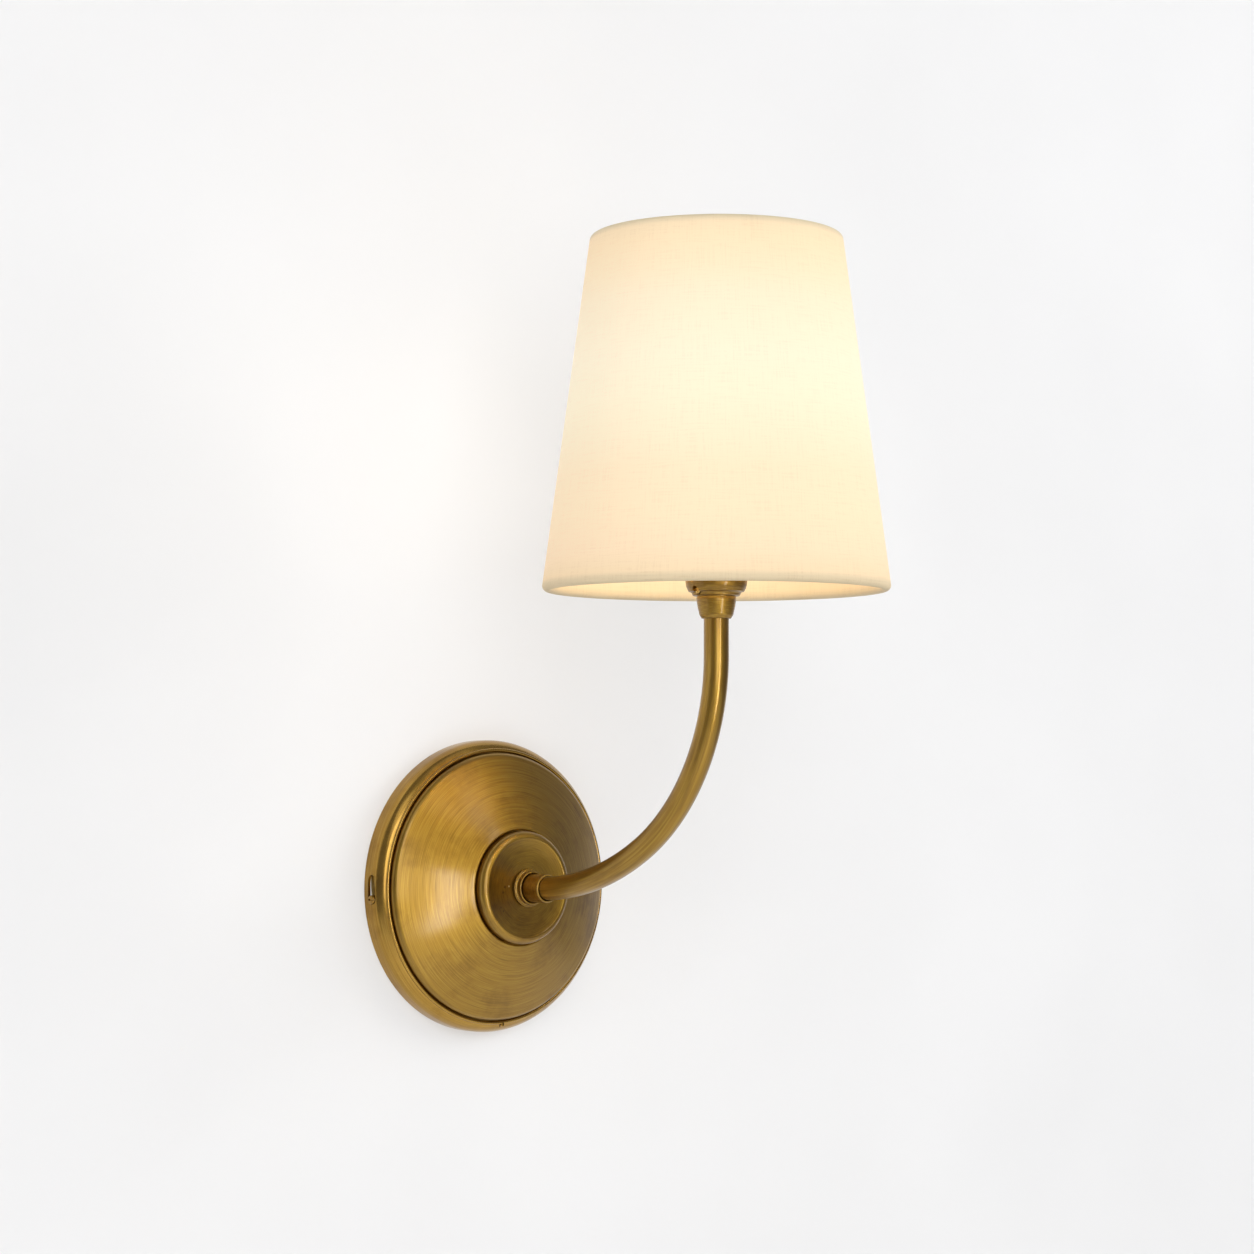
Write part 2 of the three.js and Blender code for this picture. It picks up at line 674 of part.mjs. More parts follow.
// ---------------------------------------------------------------- wiring
// Three-way connector: rounded lobes side by side, with a bore and two screws for each way.
const wayPlaces = [-wayPitch, 0, wayPitch];
const blockFront = blockDepth + blockThickness;
const blockMiddle = blockDepth + blockThickness / 2;
const blockScrewRows = [-blockDrop - blockScrewInset, -blockDrop - blockHeight + blockScrewInset];
const blockWireEnds = blockMiddle - wireRadius - gap; // the screws stop short of the wires
function terminalBlock() {
  const lobeRadius = wayPitch / 2;
  const baseThickness = blockThickness - lobeRadius + blockLobeDrop;
  const along = (radius, start, end) => rod(radius, start, end, 8).rotateX(Math.PI / 2);
  const lobes = wayPlaces.map((place) =>
    along(lobeRadius, 0, blockHeight).translate(place, -blockDrop, blockFront - lobeRadius));
  const base = box(blockWidth, blockHeight, baseThickness,
    0, -blockDrop - blockHeight / 2, blockDepth + baseThickness / 2);
  const bores = wayPlaces.map((place) =>
    along(wayBore, -1, blockHeight + 1).translate(place, -blockDrop, blockMiddle));
  const wells = wayPlaces.flatMap((place) => blockScrewRows.map((row) =>
    rod(blockScrewRadius + gap, blockDepth - 1, blockWireEnds, 8).translate(place, row, 0)));
  return cut(join(base, ...lobes), ...bores, ...wells);
}

// A headless screw along +Z from z = 0, with its slot at the end that a driver reaches.
function headlessScrew(radius, length, sides, slotAt) {
  return cut(rod(radius, 0, length, sides), box(3 * radius, radius / 3, radius * 0.7, 0, 0, slotAt));
}

add(wallSide, 'terminal_block', terminalBlock(), whiteNylon);
wayPlaces.forEach((place, way) => blockScrewRows.forEach((row, end) => {
  const foot = blockDepth + blockScrewSunk;
  const screw = headlessScrew(blockScrewRadius, blockWireEnds - foot, 8, 0);
  const mesh = add(wallSide, `terminal_screw_${way * 2 + end + 1}`, screw, plainBrass);
  mesh.position.set(place, row, foot);
}));

// A lead leaves the block, climbs to the bushing and runs through the arm to its terminal.
function lampWire(hand) {
  const offset = (hand * wirePitch) / 2;
  const place = hand * wayPitch;
  const entry = tubeTail - gap - bushFlange;
  const inner = new ArmLine(offset, tubeTail + 2, tubeTop - 1);
  const leadOut = [
    [place, blockMiddle, -blockDrop - blockHeight / 2 + wireTuck],
    [place, blockMiddle, -blockDrop + 1],
    [place, blockMiddle - 0.4, -blockDrop + 5],
    [place * 0.72, entry - 4.6, -blockDrop * 0.42],
    [place * 0.36, entry - 5, -blockDrop * 0.18],
    [offset, entry - 2.4, -1.6],
    [offset, entry + 0.6, -0.15],
  ].map(([x, out, z]) => new THREE.Vector3(x, -out, z));
  const terminal = [
    [offset * 1.3, tubeTop + 0.8],
    [hand * terminalPlace * 0.9, coreBottom - 2],
    [hand * terminalPlace, coreBottom - 0.2],
    [hand * terminalPlace, coreBottom + 1.6],
    [hand * terminalPlace, coreBottom + 3.2],
  ].map(([x, up]) => new THREE.Vector3(x, -reach, holderFoot + up));
  return new THREE.CatmullRomCurve3([...leadOut, ...inner.getPoints(14), ...terminal]);
}

add(sconce, 'live_wire', swept(lampWire(-1), 42, wireRadius, wireSides), brownSleeve);
add(sconce, 'neutral_wire', swept(lampWire(1), 42, wireRadius, wireSides), blueSleeve);

const barrelMouth = tagBack - barrelLength - gap;
const earthRoute = new THREE.CatmullRomCurve3([
  [-blockDrop - blockHeight / 2 + wireTuck, blockMiddle],
  [-blockDrop + 0.5, blockMiddle],
  [-blockDrop + 4, blockMiddle + 0.4],
  [-tagReach - 1.2, blockMiddle + 2.4],
  [-tagReach, barrelMouth - 1.4],
  [-tagReach, barrelMouth],
].map(([z, out]) => new THREE.Vector3(0, -out, z)));
add(sconce, 'earth_wire', swept(earthRoute, 10, wireRadius, wireSides), earthSleeve);

// ---------------------------------------------------------------- lampholder
function lampholderCap() {
  const inner = capRadius - holderWall;
  const waist = capFootRadius + capFlare;
  const neck = [[0.11, 0.3], [0.25, 0.55], [0.5, 0.8], [0.75, 0.94]] // height, flare, as shares
    .map(([up, out]) => [capFootRadius + capFlare * out, capWaistHeight * up]);
  const bowl = new THREE.QuadraticBezierCurve(
    new THREE.Vector2(capBowlFoot, capWaistHeight),
    new THREE.Vector2(waist + capBowlPull, capWaistHeight + capBowlRise),
    new THREE.Vector2(capRadius, capFloor + holderWall),
  ).getPoints(4).map(({ x, y }) => [x, y]);
  const cap = turned([
    [tubeHole, 0], [capFootRadius, 0], ...neck, [waist, capWaistHeight], ...bowl,
    [capRadius, capHeight], [inner, capHeight], [inner, capFloor], [tubeHole, capFloor],
  ], turnedSides);
  const grubHole = rod(grubRadius + gap, -capRadius - 2, -tubeRadius, screwSides)
    .rotateY(Math.PI / 2).translate(0, 0, grubHeight);
  return cut(cap, grubHole);
}

function grubScrew() {
  const length = capRadius - tubeHole - grubSunk;
  return headlessScrew(grubRadius, length, screwSides, length);
}

function lampholderCore() {
  const outer = capRadius - holderWall - gap;
  const body = outer - coreStep;
  const foot = outer - coreFootStep;
  const cavity = socketRadius + socketWall + gap;
  const skirtTop = capHeight + gap;
  const core = turned([
    [0, coreBottom], [foot, coreBottom], [foot, capFloor + gap], [outer, capFloor + gap],
    [outer, skirtTop], [body, skirtTop + coreStep], [body, coreTop], [cavity, coreTop],
    [cavity, socketFloor], [0, socketFloor],
  ], turnedSides);
  const wells = [-1, 1].flatMap((hand) => [
    rod(wireRadius + wireHoleSlack, coreBottom - 1, coreBottom + terminalDepth, 8)
      .translate(hand * terminalPlace, 0, 0),
    rod(terminalScrewRadius + gap, terminalPlace, outer + 1, 8).rotateY((hand * Math.PI) / 2)
      .translate(0, 0, coreBottom + terminalRise),
  ]);
  return cut(core, ...wells);
}

function lampholderShell() {
  const outer = capRadius;
  const inner = capRadius - holderWall;
  const foot = capHeight + gap;
  const top = coreTop + gap + holderWall;
  const mouth = socketRadius + socketWall + gap + shellLip;
  const band = foot + shellBeadPlace;
  const [low, high] = [band - shellBeadWidth / 2, band + shellBeadWidth / 2];
  return turned([
    [inner, foot], [outer, foot], [outer, low],
    [outer + shellBead, low + shellBead], [outer + shellBead, high - shellBead], [outer, high],
    [outer, top - shellLip], [outer - shellLip, top],
    [mouth, top], [mouth, coreTop + gap], [inner, coreTop + gap],
  ], turnedSides);
}

function socketShell() {
  const outer = socketRadius + socketWall;
  const [floor, top] = [socketFloor + gap, coreTop - 1];
  return turned([
    [socketOpening, floor], [outer, floor], [outer, top], [socketRadius, top],
    [socketRadius, floor + socketWall], [socketOpening, floor + socketWall],
  ], turnedSides);
}

add(lampSide, 'lampholder_cap', lampholderCap(), agedBrass);
const grub = add(lampSide, 'cap_grub_screw', grubScrew(), plainBrass);
grub.rotation.y = -Math.PI / 2;
grub.position.set(-tubeHole, 0, grubHeight);
add(lampSide, 'lampholder_core', lampholderCore(), steatite);
add(lampSide, 'lampholder_shell', lampholderShell(), agedBrass);
add(lampSide, 'socket_shell', socketShell(), plainBrass);
add(lampSide, 'centre_contact', rod(contactRadius, socketFloor + gap, contactTop, screwSides), plainBrass);
[['core_screw_live', -1], ['core_screw_neutral', 1]].forEach(([name, hand]) => {
  const tip = terminalPlace + wireRadius + gap;
  const length = capRadius - holderWall - 3 * gap - tip;
  const mesh = add(lampSide, name, headlessScrew(terminalScrewRadius, length, 8, length), plainBrass);
  mesh.rotation.y = (hand * Math.PI) / 2;
  mesh.position.set(hand * tip, 0, coreBottom + terminalRise);
});

// ---------------------------------------------------------------- lamp
// Outline of the bulb's glass, from the edge of its neck to the tip on the axis.
const glassLine = [
  [lampNeckRadius, glassFoot], [lampNeckRadius, lampBaseTop],
  ...new THREE.SplineCurve([
    [lampNeckRadius + 0.6, lampBaseTop + 1.6], [lampRadius * 0.62, lampBaseTop + 8],
    [lampRadius * 0.94, widestHeight - 8], [lampRadius, widestHeight],
    [lampRadius * 0.9, widestHeight + 17], [lampRadius * 0.56, glassTop - 16],
    [lampRadius * 0.2, glassTop - 3], [0, glassTop],
  ].map(([x, y]) => new THREE.Vector2(x, y))).getPoints(10).map(({ x, y }) => [Math.max(x, 0), y]),
];
glassLine.at(-1)[0] = 0;

function glassRadiusAt(height) {
  const above = glassLine.findIndex(([, y]) => y >= height);
  const [r0, y0] = glassLine[above - 1];
  const [r1, y1] = glassLine[above];
  return r0 + ((r1 - r0) * (height - y0)) / (y1 - y0);
}

function lampInsulator() {
  const rim = lampBaseRadius - gap / 2;
  const plug = lampNeckRadius - gap;
  return turned([
    [0, lampTipTop + gap], [insulatorFoot, lampTipTop + gap], [rim, insulatorTop - gap],
    [rim, insulatorTop], [plug, insulatorTop], [plug, insulatorTop + insulatorPlug],
    [0, insulatorTop + insulatorPlug],
  ], smallSides);
}

function lampBase() {
  const inner = lampNeckRadius + gap;
  const bottom = insulatorTop + gap;
  const top = lampBaseTop - gap;
  return turned([
    [inner, bottom], [lampBaseRadius, bottom], [lampBaseRadius, top - baseFlareHeight],
    [lampBaseRadius + baseFlare, top - baseFlareHeight / 2], [lampBaseRadius, top], [inner, top],
  ], smallSides);
}

const stemFoot = glassFoot + glassWall;
function filamentStem() {
  const skirt = lampNeckRadius - glassWall - gap;
  return turned([
    [0, stemFoot], [skirt, stemFoot], [skirt, stemFoot + stemSkirt],
    [stemRadius, stemFoot + stemHeight * 0.3], [stemRadius, stemFoot + stemHeight * 0.85],
    [stemFlare, stemFoot + stemHeight - stemPress],
    [0, stemFoot + stemHeight],
  ], screwSides);
}

// One half of the filament's arch, as shares of its spread and height.
const archHalf = [[0.14, 0], [0.25, 0.22], [1, 0.66], [0.56, 0.93]];
function filament() {
  const foot = stemFoot + stemHeight + gap + filamentRadius;
  const point = (side) => ([out, up]) =>
    new THREE.Vector3(side * out * filamentSpread, 0, foot + up * filamentHeight);
  const arch = new THREE.CatmullRomCurve3([
    ...archHalf.map(point(-1)), point(0)([0, 1]), ...archHalf.map(point(1)).reverse(),
  ]);
  return swept(arch, 18, filamentRadius, 4);
}

add(lampSide, 'lamp_contact', rod(lampTipRadius, lampTipBottom, lampTipTop, screwSides), zincSteel);
add(lampSide, 'lamp_insulator', lampInsulator(), blackGlass);
add(lampSide, 'lamp_base', lampBase(), zincSteel);
add(lampSide, 'lamp_glass', turned(sheet(glassLine, glassWall), 16), frostedGlass);
add(lampSide, 'filament_stem', filamentStem(), frostedGlass);
add(lampSide, 'filament', filament(), tungsten);

// ---------------------------------------------------------------- shade
// Outer radius of the linen at a height on its straight side.
const bottomRoll = [shadeBottomDiameter / 2 - rollRadius, shadeBottom + rollRadius];
const topRoll = [shadeTopDiameter / 2 - rollRadius, shadeTop - rollRadius];
const sideLean = Math.atan2(bottomRoll[0] - topRoll[0], topRoll[1] - bottomRoll[1]);
function sideRadius(height) {
  const share = (height - bottomRoll[1]) / (topRoll[1] - bottomRoll[1]);
  const middle = bottomRoll[0] + (topRoll[0] - bottomRoll[0]) * share;
  return middle + rollRadius / Math.cos(sideLean);
}

// The linen's outer face: up from the lower hem, round both wires and down to the upper hem.
function shadeFabric() {
  const inset = 2 * (fabricThickness + gap) + linerThickness;
  const hemPoint = (height) => [sideRadius(height) - inset - fabricThickness, height];
  const [lower, upper] = [bottomRoll[1], topRoll[1]];
  const line = [
    hemPoint(lower + hemWidth),
    ...arc(...bottomRoll, rollRadius, Math.PI * 0.9, 2 * Math.PI + sideLean, 4),
    ...arc(...topRoll, rollRadius, sideLean, Math.PI * 1.1, 4),
    hemPoint(upper - hemWidth),
  ];
  const skin = turned(sheet(line, fabricThickness), shadeSides);
  const width = 2 * armWire + 4 * gap;
  const slits = armAngles.map((angle) => box(rollRadius * 2.6, width, hemWidth + 2 * hemSlitBeyond,
    topRoll[0] - ringWire - rollRadius * 0.9, 0, upper - hemWidth / 2)
    .rotateZ(angle));
  return cut(skin, ...slits);
}

function shadeLiner() {
  const outer = (height) => sideRadius(height) - (fabricThickness + gap) / Math.cos(sideLean);
  const low = bottomRoll[1] + ringWire + gap;
  const high = topRoll[1] - ringWire - gap;
  return turned(sheet([[outer(low), low], [outer(high), high]], linerThickness), shadeSides);
}

function wireRing([radius, height]) {
  return turned(arc(radius, height, ringWire, 0, (2 * Math.PI * 4) / 5, 4), shadeSides);
}

// Three arms run from the clip's hub up to the top ring.
const armAngles = [Math.PI / 2, (7 * Math.PI) / 6, (11 * Math.PI) / 6];
function shadeArm() {
  const start = clipHubRadius + gap;
  const end = topRoll[0] - ringWire - gap;
  const level = clipHubBottom + clipHubThickness / 2;
  const line = new THREE.CatmullRomCurve3([
    [start, level], [start + armFlat, level + armFlatRise],
    [end - armCrank, topRoll[1] - armCrankRise], [end, topRoll[1]],
  ].map(([out, up]) => new THREE.Vector3(out, 0, up)));
  return swept(line, 6, armWire, wireSides);
}

// Spring wire loop on one side of the bulb, open at the hub and held off the glass by the gap.
function clipLoop(hand) {
  const off = clipWire + gap + clipLoopClear;
  const steps = [0.16, 0.4, 0.64, 0.86];
  const top = clipHubBottom - gap;
  const low = widestHeight - clipReachBelow;
  const around = (radius, angle, height) => new THREE.Vector3(
    hand * radius * Math.cos(angle), radius * Math.sin(angle), height);
  const leg = (side) => [
    around((clipHubRadius + clipHubBore) / 2, side * clipSpread, top),
    ...steps.map((share) => {
      const height = top + (widestHeight - top) * share;
      const clear = Math.max(height < glassTop ? glassRadiusAt(height) : 0, clipHubBore) + off;
      return around(clear, side * clipSpread, height);
    }),
    around(lampRadius + off, side * clipSpread, widestHeight),
    around(lampRadius + off, side * clipSpread, low + clipBow),
  ];
  const bow = [-0.6, 0, 0.6].map((share) =>
    around(lampRadius + off, share * clipSpread, low - (1 - Math.abs(share)) * clipBow / 3));
  return swept(new THREE.CatmullRomCurve3([...leg(-1), ...bow, ...leg(1).reverse()]), 30,
    clipWire, wireSides);
}

add(lampSide, 'shade_fabric', shadeFabric(), linen);
add(lampSide, 'shade_liner', shadeLiner(), styrene);
add(lampSide, 'shade_bottom_ring', wireRing(bottomRoll), springSteel);
add(lampSide, 'shade_top_ring', wireRing(topRoll), springSteel);
armAngles.forEach((angle, i) => {
  add(lampSide, `shade_arm_${i + 1}`, shadeArm(), springSteel).rotation.z = angle;
});
add(lampSide, 'clip_hub', washer(clipHubRadius, clipHubBore, clipHubBottom, clipHubThickness,
  smallSides), springSteel);
add(lampSide, 'clip_loop_right', clipLoop(1), springSteel);
add(lampSide, 'clip_loop_left', clipLoop(-1), springSteel);

export default sconce;
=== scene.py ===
# %% [markdown]
# # A wall sconce: dished brass plate, curved arm, linen shade
#
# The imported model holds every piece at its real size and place, with few facets. This
# lesson gives each piece the surface that the eye expects: round things are turned
# finely, tubes are bent, and every finish gets a material of its own. The wall is the
# plane y = 0, the lamp stands out towards -Y, and +Z is up. Lengths in the cells are in
# millimetres, because that is how such a lamp is drawn, and MM turns them to metres.

# %% Load the frame
import json
import math

import bpy
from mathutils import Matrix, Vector


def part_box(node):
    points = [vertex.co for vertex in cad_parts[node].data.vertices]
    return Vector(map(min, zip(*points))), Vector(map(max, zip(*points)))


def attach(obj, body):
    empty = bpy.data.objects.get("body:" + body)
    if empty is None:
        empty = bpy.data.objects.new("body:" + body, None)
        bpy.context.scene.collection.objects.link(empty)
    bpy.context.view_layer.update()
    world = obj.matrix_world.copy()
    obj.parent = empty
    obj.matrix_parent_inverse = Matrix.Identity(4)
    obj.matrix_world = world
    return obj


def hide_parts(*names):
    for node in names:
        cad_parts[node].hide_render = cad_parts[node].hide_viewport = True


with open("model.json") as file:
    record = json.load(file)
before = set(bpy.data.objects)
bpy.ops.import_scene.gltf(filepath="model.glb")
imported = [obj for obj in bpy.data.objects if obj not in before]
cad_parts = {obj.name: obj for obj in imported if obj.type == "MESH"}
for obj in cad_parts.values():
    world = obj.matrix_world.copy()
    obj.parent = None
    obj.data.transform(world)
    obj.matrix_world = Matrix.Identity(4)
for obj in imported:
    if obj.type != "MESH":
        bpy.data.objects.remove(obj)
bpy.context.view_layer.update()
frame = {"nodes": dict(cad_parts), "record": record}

MM = 0.001

# %% [markdown]
# ## Measures taken from the frame
#
# A piece that stands in for a packed one has to fit it, so the main sizes are read off
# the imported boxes. Two places matter most: the hub's axis, which is the Y axis, and the
# lamp's axis, which is upright in front of the wall.

# %% Read the main places
HUB_PIECES = {
    "backplate_ring", "backplate_dish", "hub_cup", "collar_ring", "neck_sleeve",
    "hub_washer", "lock_washer", "wire_bushing",
}


def box_mm(node):
    """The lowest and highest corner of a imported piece, in millimetres."""
    low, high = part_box(node)
    return low / MM, high / MM


def radius_mm(node):
    """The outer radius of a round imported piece."""
    low, high = box_mm(node)
    size = high - low
    return max(size.x, size.z if node in HUB_PIECES else size.y) / 2


def depths(node):
    """How far the back and the front of a hub piece stand from the wall."""
    low, high = box_mm(node)
    return -high.y, -low.y


def heights(node):
    """The foot and the top of a lamp piece, above the lampholder's foot."""
    low, high = box_mm(node)
    return low.z - FOOT, high.z - FOOT


CLEARANCE = 0.3  # between two pieces that seat on or in each other
cap_low, cap_high = box_mm("lampholder_cap")
REACH = -(cap_low.y + cap_high.y) / 2
FOOT = cap_low.z
PLATE_RADIUS = radius_mm("backplate_ring")
arm_low, arm_high = box_mm("arm_tube")
tube_radius = (arm_high.x - arm_low.x) / 2
TUBE_HOLE = tube_radius + CLEARANCE
print("reach", round(REACH, 2), "lampholder foot", round(FOOT, 2), "plate radius", PLATE_RADIUS)

# %% [markdown]
# ## Drawing an outline and turning it
#
# Most of this lamp was spun or turned on a lathe, so one gesture makes most of the
# model: a single point is extruded from place to place into an outline, and the spin
# tool carries that outline once round an axis. It could be done with a Screw modifier
# too, but spin keeps the mesh plain and closes it where it meets itself.

# %% Selecting, editing and drawing
MERGE_WITHIN = 0.002 * MM  # two points closer than this are taken as one


def select_only(*objects):
    """Selects these objects and nothing else, with the first one active."""
    bpy.ops.object.select_all(action="DESELECT")
    for item in objects:
        item.select_set(True)
    bpy.context.view_layer.objects.active = objects[0]


def start_piece(name):
    """Adds one loose point to build on, and opens it for editing."""
    bpy.ops.object.select_all(action="DESELECT")
    bpy.ops.mesh.primitive_plane_add(size=MM)
    piece = bpy.context.object
    piece.name = piece.data.name = name
    bpy.ops.object.mode_set(mode="EDIT")
    bpy.ops.mesh.select_all(action="SELECT")
    bpy.ops.mesh.merge(type="CENTER")
    return piece


def draw(places):
    """Moves the selected point to the first place and extrudes it through the others."""
    bpy.ops.transform.translate(value=places[0])
    for here, there in zip(places, places[1:]):
        bpy.ops.mesh.extrude_region_move(TRANSFORM_OT_translate={"value": there - here})


def close_mesh():
    """Merges what lies double, turns all faces outwards and leaves edit mode."""
    bpy.ops.mesh.select_all(action="SELECT")
    bpy.ops.mesh.remove_doubles(threshold=MERGE_WITHIN)
    bpy.ops.mesh.normals_make_consistent(inside=False)
    bpy.ops.object.mode_set(mode="OBJECT")


# %% The lathe
TURNS = 96  # facets round a turned piece
PLATE_TURNS = 160  # and round the plate's two wide pieces
SHADE_TURNS = 176  # and round the shade


def at_hub(radius, out):
    """A point of a hub outline: radius from the hub's axis, out from the wall."""
    return Vector((radius, -out, 0)) * MM


def at_lamp(radius, up):
    """A point of a lamp outline: radius from the lamp's axis, up from its holder's foot."""
    return Vector((radius, -REACH, FOOT + up)) * MM


HUB_AXIS = (Vector((0, 0, 0)), Vector((0, 1, 0)))
LAMP_AXIS = (Vector((0, -REACH, 0)) * MM, Vector((0, 0, 1)))


def turn(name, outline, spot=at_hub, turns=TURNS):
    """Spins a closed outline of (radius, height) points once round its axis."""
    centre, axis = HUB_AXIS if spot is at_hub else LAMP_AXIS
    piece = start_piece(name)
    on_axis = outline[0][0] == 0 and outline[-1][0] == 0
    places = [spot(*point) for point in outline]
    draw(places if on_axis else places + places[:1])
    bpy.ops.mesh.select_all(action="SELECT")
    bpy.ops.mesh.spin(steps=turns, angle=2 * math.pi, center=centre, axis=axis)
    close_mesh()
    return piece


# %% Round stretches of an outline
def arc(x, y, radius, start, end, steps):
    """Points of a round stretch of an outline, both ends included, angles in degrees."""
    angles = [math.radians(start + (end - start) * i / steps) for i in range(steps + 1)]
    return [(x + radius * math.cos(a), y + radius * math.sin(a)) for a in angles]


def curve(start, pull, end, steps):
    """Points of a soft bend from start to end that leans towards pull."""
    shares = [i / steps for i in range(steps + 1)]
    return [
        tuple((1 - t) ** 2 * a + 2 * t * (1 - t) * b + t * t * c
              for a, b, c in zip(start, pull, end))
        for t in shares
    ]


def eased(outline, radius=0.25, steps=3):
    """The outline with each hard corner rounded, because no real edge is perfectly sharp."""
    points = [Vector(point) for point in outline]
    soft = []
    for i, here in enumerate(points):
        before, after = points[i - 1] - here, points[(i + 1) % len(points)] - here
        if here.x == 0 or before.angle(after, 0) > math.radians(150):
            soft.append(tuple(here))
            continue
        start = here + before.normalized() * min(radius, before.length * 0.4)
        end = here + after.normalized() * min(radius, after.length * 0.4)
        soft += curve(start, here, end, steps)
    return soft


def band(inner, outer, low, high):
    """The outline of a plain washer or sleeve."""
    return [(inner, low), (outer, low), (outer, high), (inner, high)]


# %% [markdown]
# ## Keeping a piece
#
# A finished piece is shaded smooth except at real edges, gets its material, rides on its
# body, and hides the imported piece it stands for. One function does all of that, so no
# piece is left half dressed. The record says which body and which finish each imported
# piece has, and the body is looked up there.

# %% Dressing and carving
record = frame["record"]
BODY_OF = {
    node: body for body, nodes in record["behaviour"]["bodies"].items() for node in nodes
}


def dress(piece, material, *stands_for, part_of=None, edge=34):
    """Shades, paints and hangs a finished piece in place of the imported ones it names."""
    owner = part_of or stands_for[0]
    select_only(piece)
    bpy.ops.object.transform_apply(location=True, rotation=True, scale=True)
    bpy.ops.object.shade_smooth_by_angle(angle=math.radians(edge))
    piece.data.materials.clear()
    piece.data.materials.append(material)
    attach(piece, BODY_OF[owner])
    if stands_for:
        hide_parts(*stands_for)
    print(piece.name, len(piece.data.polygons), "faces for", ", ".join(stands_for) or owner)
    return piece


def apply_modifier(piece, kind, **settings):
    """Adds one modifier with its settings and applies it at once."""
    select_only(piece)
    bpy.ops.object.modifier_add(type=kind)
    modifier = piece.modifiers[-1]
    for name, value in settings.items():
        setattr(modifier, name, value)
    bpy.ops.object.modifier_apply(modifier=modifier.name)


def carve(piece, *cutters, operation="DIFFERENCE"):
    """Cuts the cutters out of the piece, or joins them to it, and throws them away."""
    for cutter in cutters:
        apply_modifier(piece, "BOOLEAN", operation=operation, solver="EXACT", object=cutter)
        bpy.data.objects.remove(cutter, do_unlink=True)


# %% Rods and bars
AIM = {"X": (0, math.pi / 2, 0), "Y": (math.pi / 2, 0, 0), "Z": (0, 0, 0)}


def rod(radius, length, centre, along="Z", turns=48):
    """A round bar with its middle at the centre, all in millimetres."""
    bpy.ops.object.select_all(action="DESELECT")
    bpy.ops.mesh.primitive_cylinder_add(
        vertices=turns, radius=radius * MM, depth=length * MM,
        location=Vector(centre) * MM, rotation=AIM[along])
    bpy.ops.object.transform_apply(location=True, rotation=True, scale=True)
    return bpy.context.object


def bar(size, centre):
    """A straight bar with its middle at the centre, all in millimetres."""
    bpy.ops.object.select_all(action="DESELECT")
    bpy.ops.mesh.primitive_cube_add(size=1, location=Vector(centre) * MM)
    block = bpy.context.object
    block.scale = Vector(size) * MM
    bpy.ops.object.transform_apply(location=True, rotation=True, scale=True)
    return block


# %% [markdown]
# ## Materials
#
# Every colour is written as an sRGB hex value, as a paint card or a colour picker gives
# it, and one function turns it to the linear values that the renderer adds and
# multiplies. A second small function adds any node with its settings and links, and a
# third uses it for one sum.

# %% Colours and nodes
def linear(hex_colour):
    """An sRGB hex colour such as "#B98F45" as linear red, green, blue and alpha."""
    channels = [int(hex_colour[i:i + 2], 16) / 255 for i in (1, 3, 5)]
    return [c / 12.92 if c <= 0.04045 else ((c + 0.055) / 1.055) ** 2.4 for c in channels] + [1.0]


def add_node(material, kind, sockets=None, **settings):
    """Adds a node, sets its properties, and fills or links its input sockets."""
    tree = material.node_tree
    node = tree.nodes.new(kind)
    for name, value in settings.items():
        setattr(node, name, value)
    for socket, value in (sockets or {}).items():
        if isinstance(value, bpy.types.NodeSocket):
            tree.links.new(value, node.inputs[socket])
        else:
            node.inputs[socket].default_value = value
    return node


def maths(material, operation, *values):
    """The result of one sum, from plain numbers or the outputs of other nodes."""
    return add_node(
        material, "ShaderNodeMath", dict(enumerate(values)), operation=operation).outputs[0]


def new_material(name, **principled):
    """A material with one Principled shader whose plain numbers are set directly."""
    material = bpy.data.materials.new(name)
    material.use_nodes = True
    shader = material.node_tree.nodes["Principled BSDF"]
    for socket, value in principled.items():
        shader.inputs[socket.replace("_", " ")].default_value = value
    return material, shader


def ramp(material, factor, stops):
    """A colour ramp with (place, hex colour) stops."""
    node = add_node(material, "ShaderNodeValToRGB", {"Fac": factor})
    elements = node.color_ramp.elements
    for element, (place, colour) in zip(elements, (stops[0], stops[-1])):
        element.position = place
        element.color = linear(colour)
    for place, colour in stops[1:-1]:
        elements.new(place).color = linear(colour)
    return node.outputs["Color"]


def link(material, output, shader, socket):
    """Links an output to a named socket of the shader."""
    material.node_tree.links.new(output, shader.inputs[socket])


def mix(material, first, second, share, blend="MIX"):
    """Two colours mixed by a share."""
    return add_node(
        material, "ShaderNodeMix", {0: share, 6: first, 7: second},
        data_type="RGBA", blend_type=blend).outputs[2]


# %% [markdown]
# ## Antique brass, spun and brushed on the lathe
#
# The plate was spun from sheet, brushed while it turned, darkened with a patina, rubbed
# back and lacquered. The eye gets three things from that: highlights that fan out
# across the brushing, fine circular lines, and a whitish gloss where the lacquer
# catches a lamp. The fans come from the shader's anisotropy, with a tangent that runs
# round the axis, and the gloss from its coat. The lines come from noise that is
# squeezed across the radius and stretched round it. Noise on plain object coordinates
# would give grain that ignores the lathe, so the coordinates are first turned into a
# direction and a distance from the axis.

# %% Circular grain
BRUSH_SPACING = 0.32  # between brush lines; real ones are nearer 0.1, too fine to show
BAND_SPACING = 1.5  # between the broader bands that the cloth leaves
BRUSH_LENGTH = 2.4  # how often a line fades and starts again in a sixth of a turn
DEPTH_SHARE = 0.8  # how much a step along the axis counts beside a step away from it


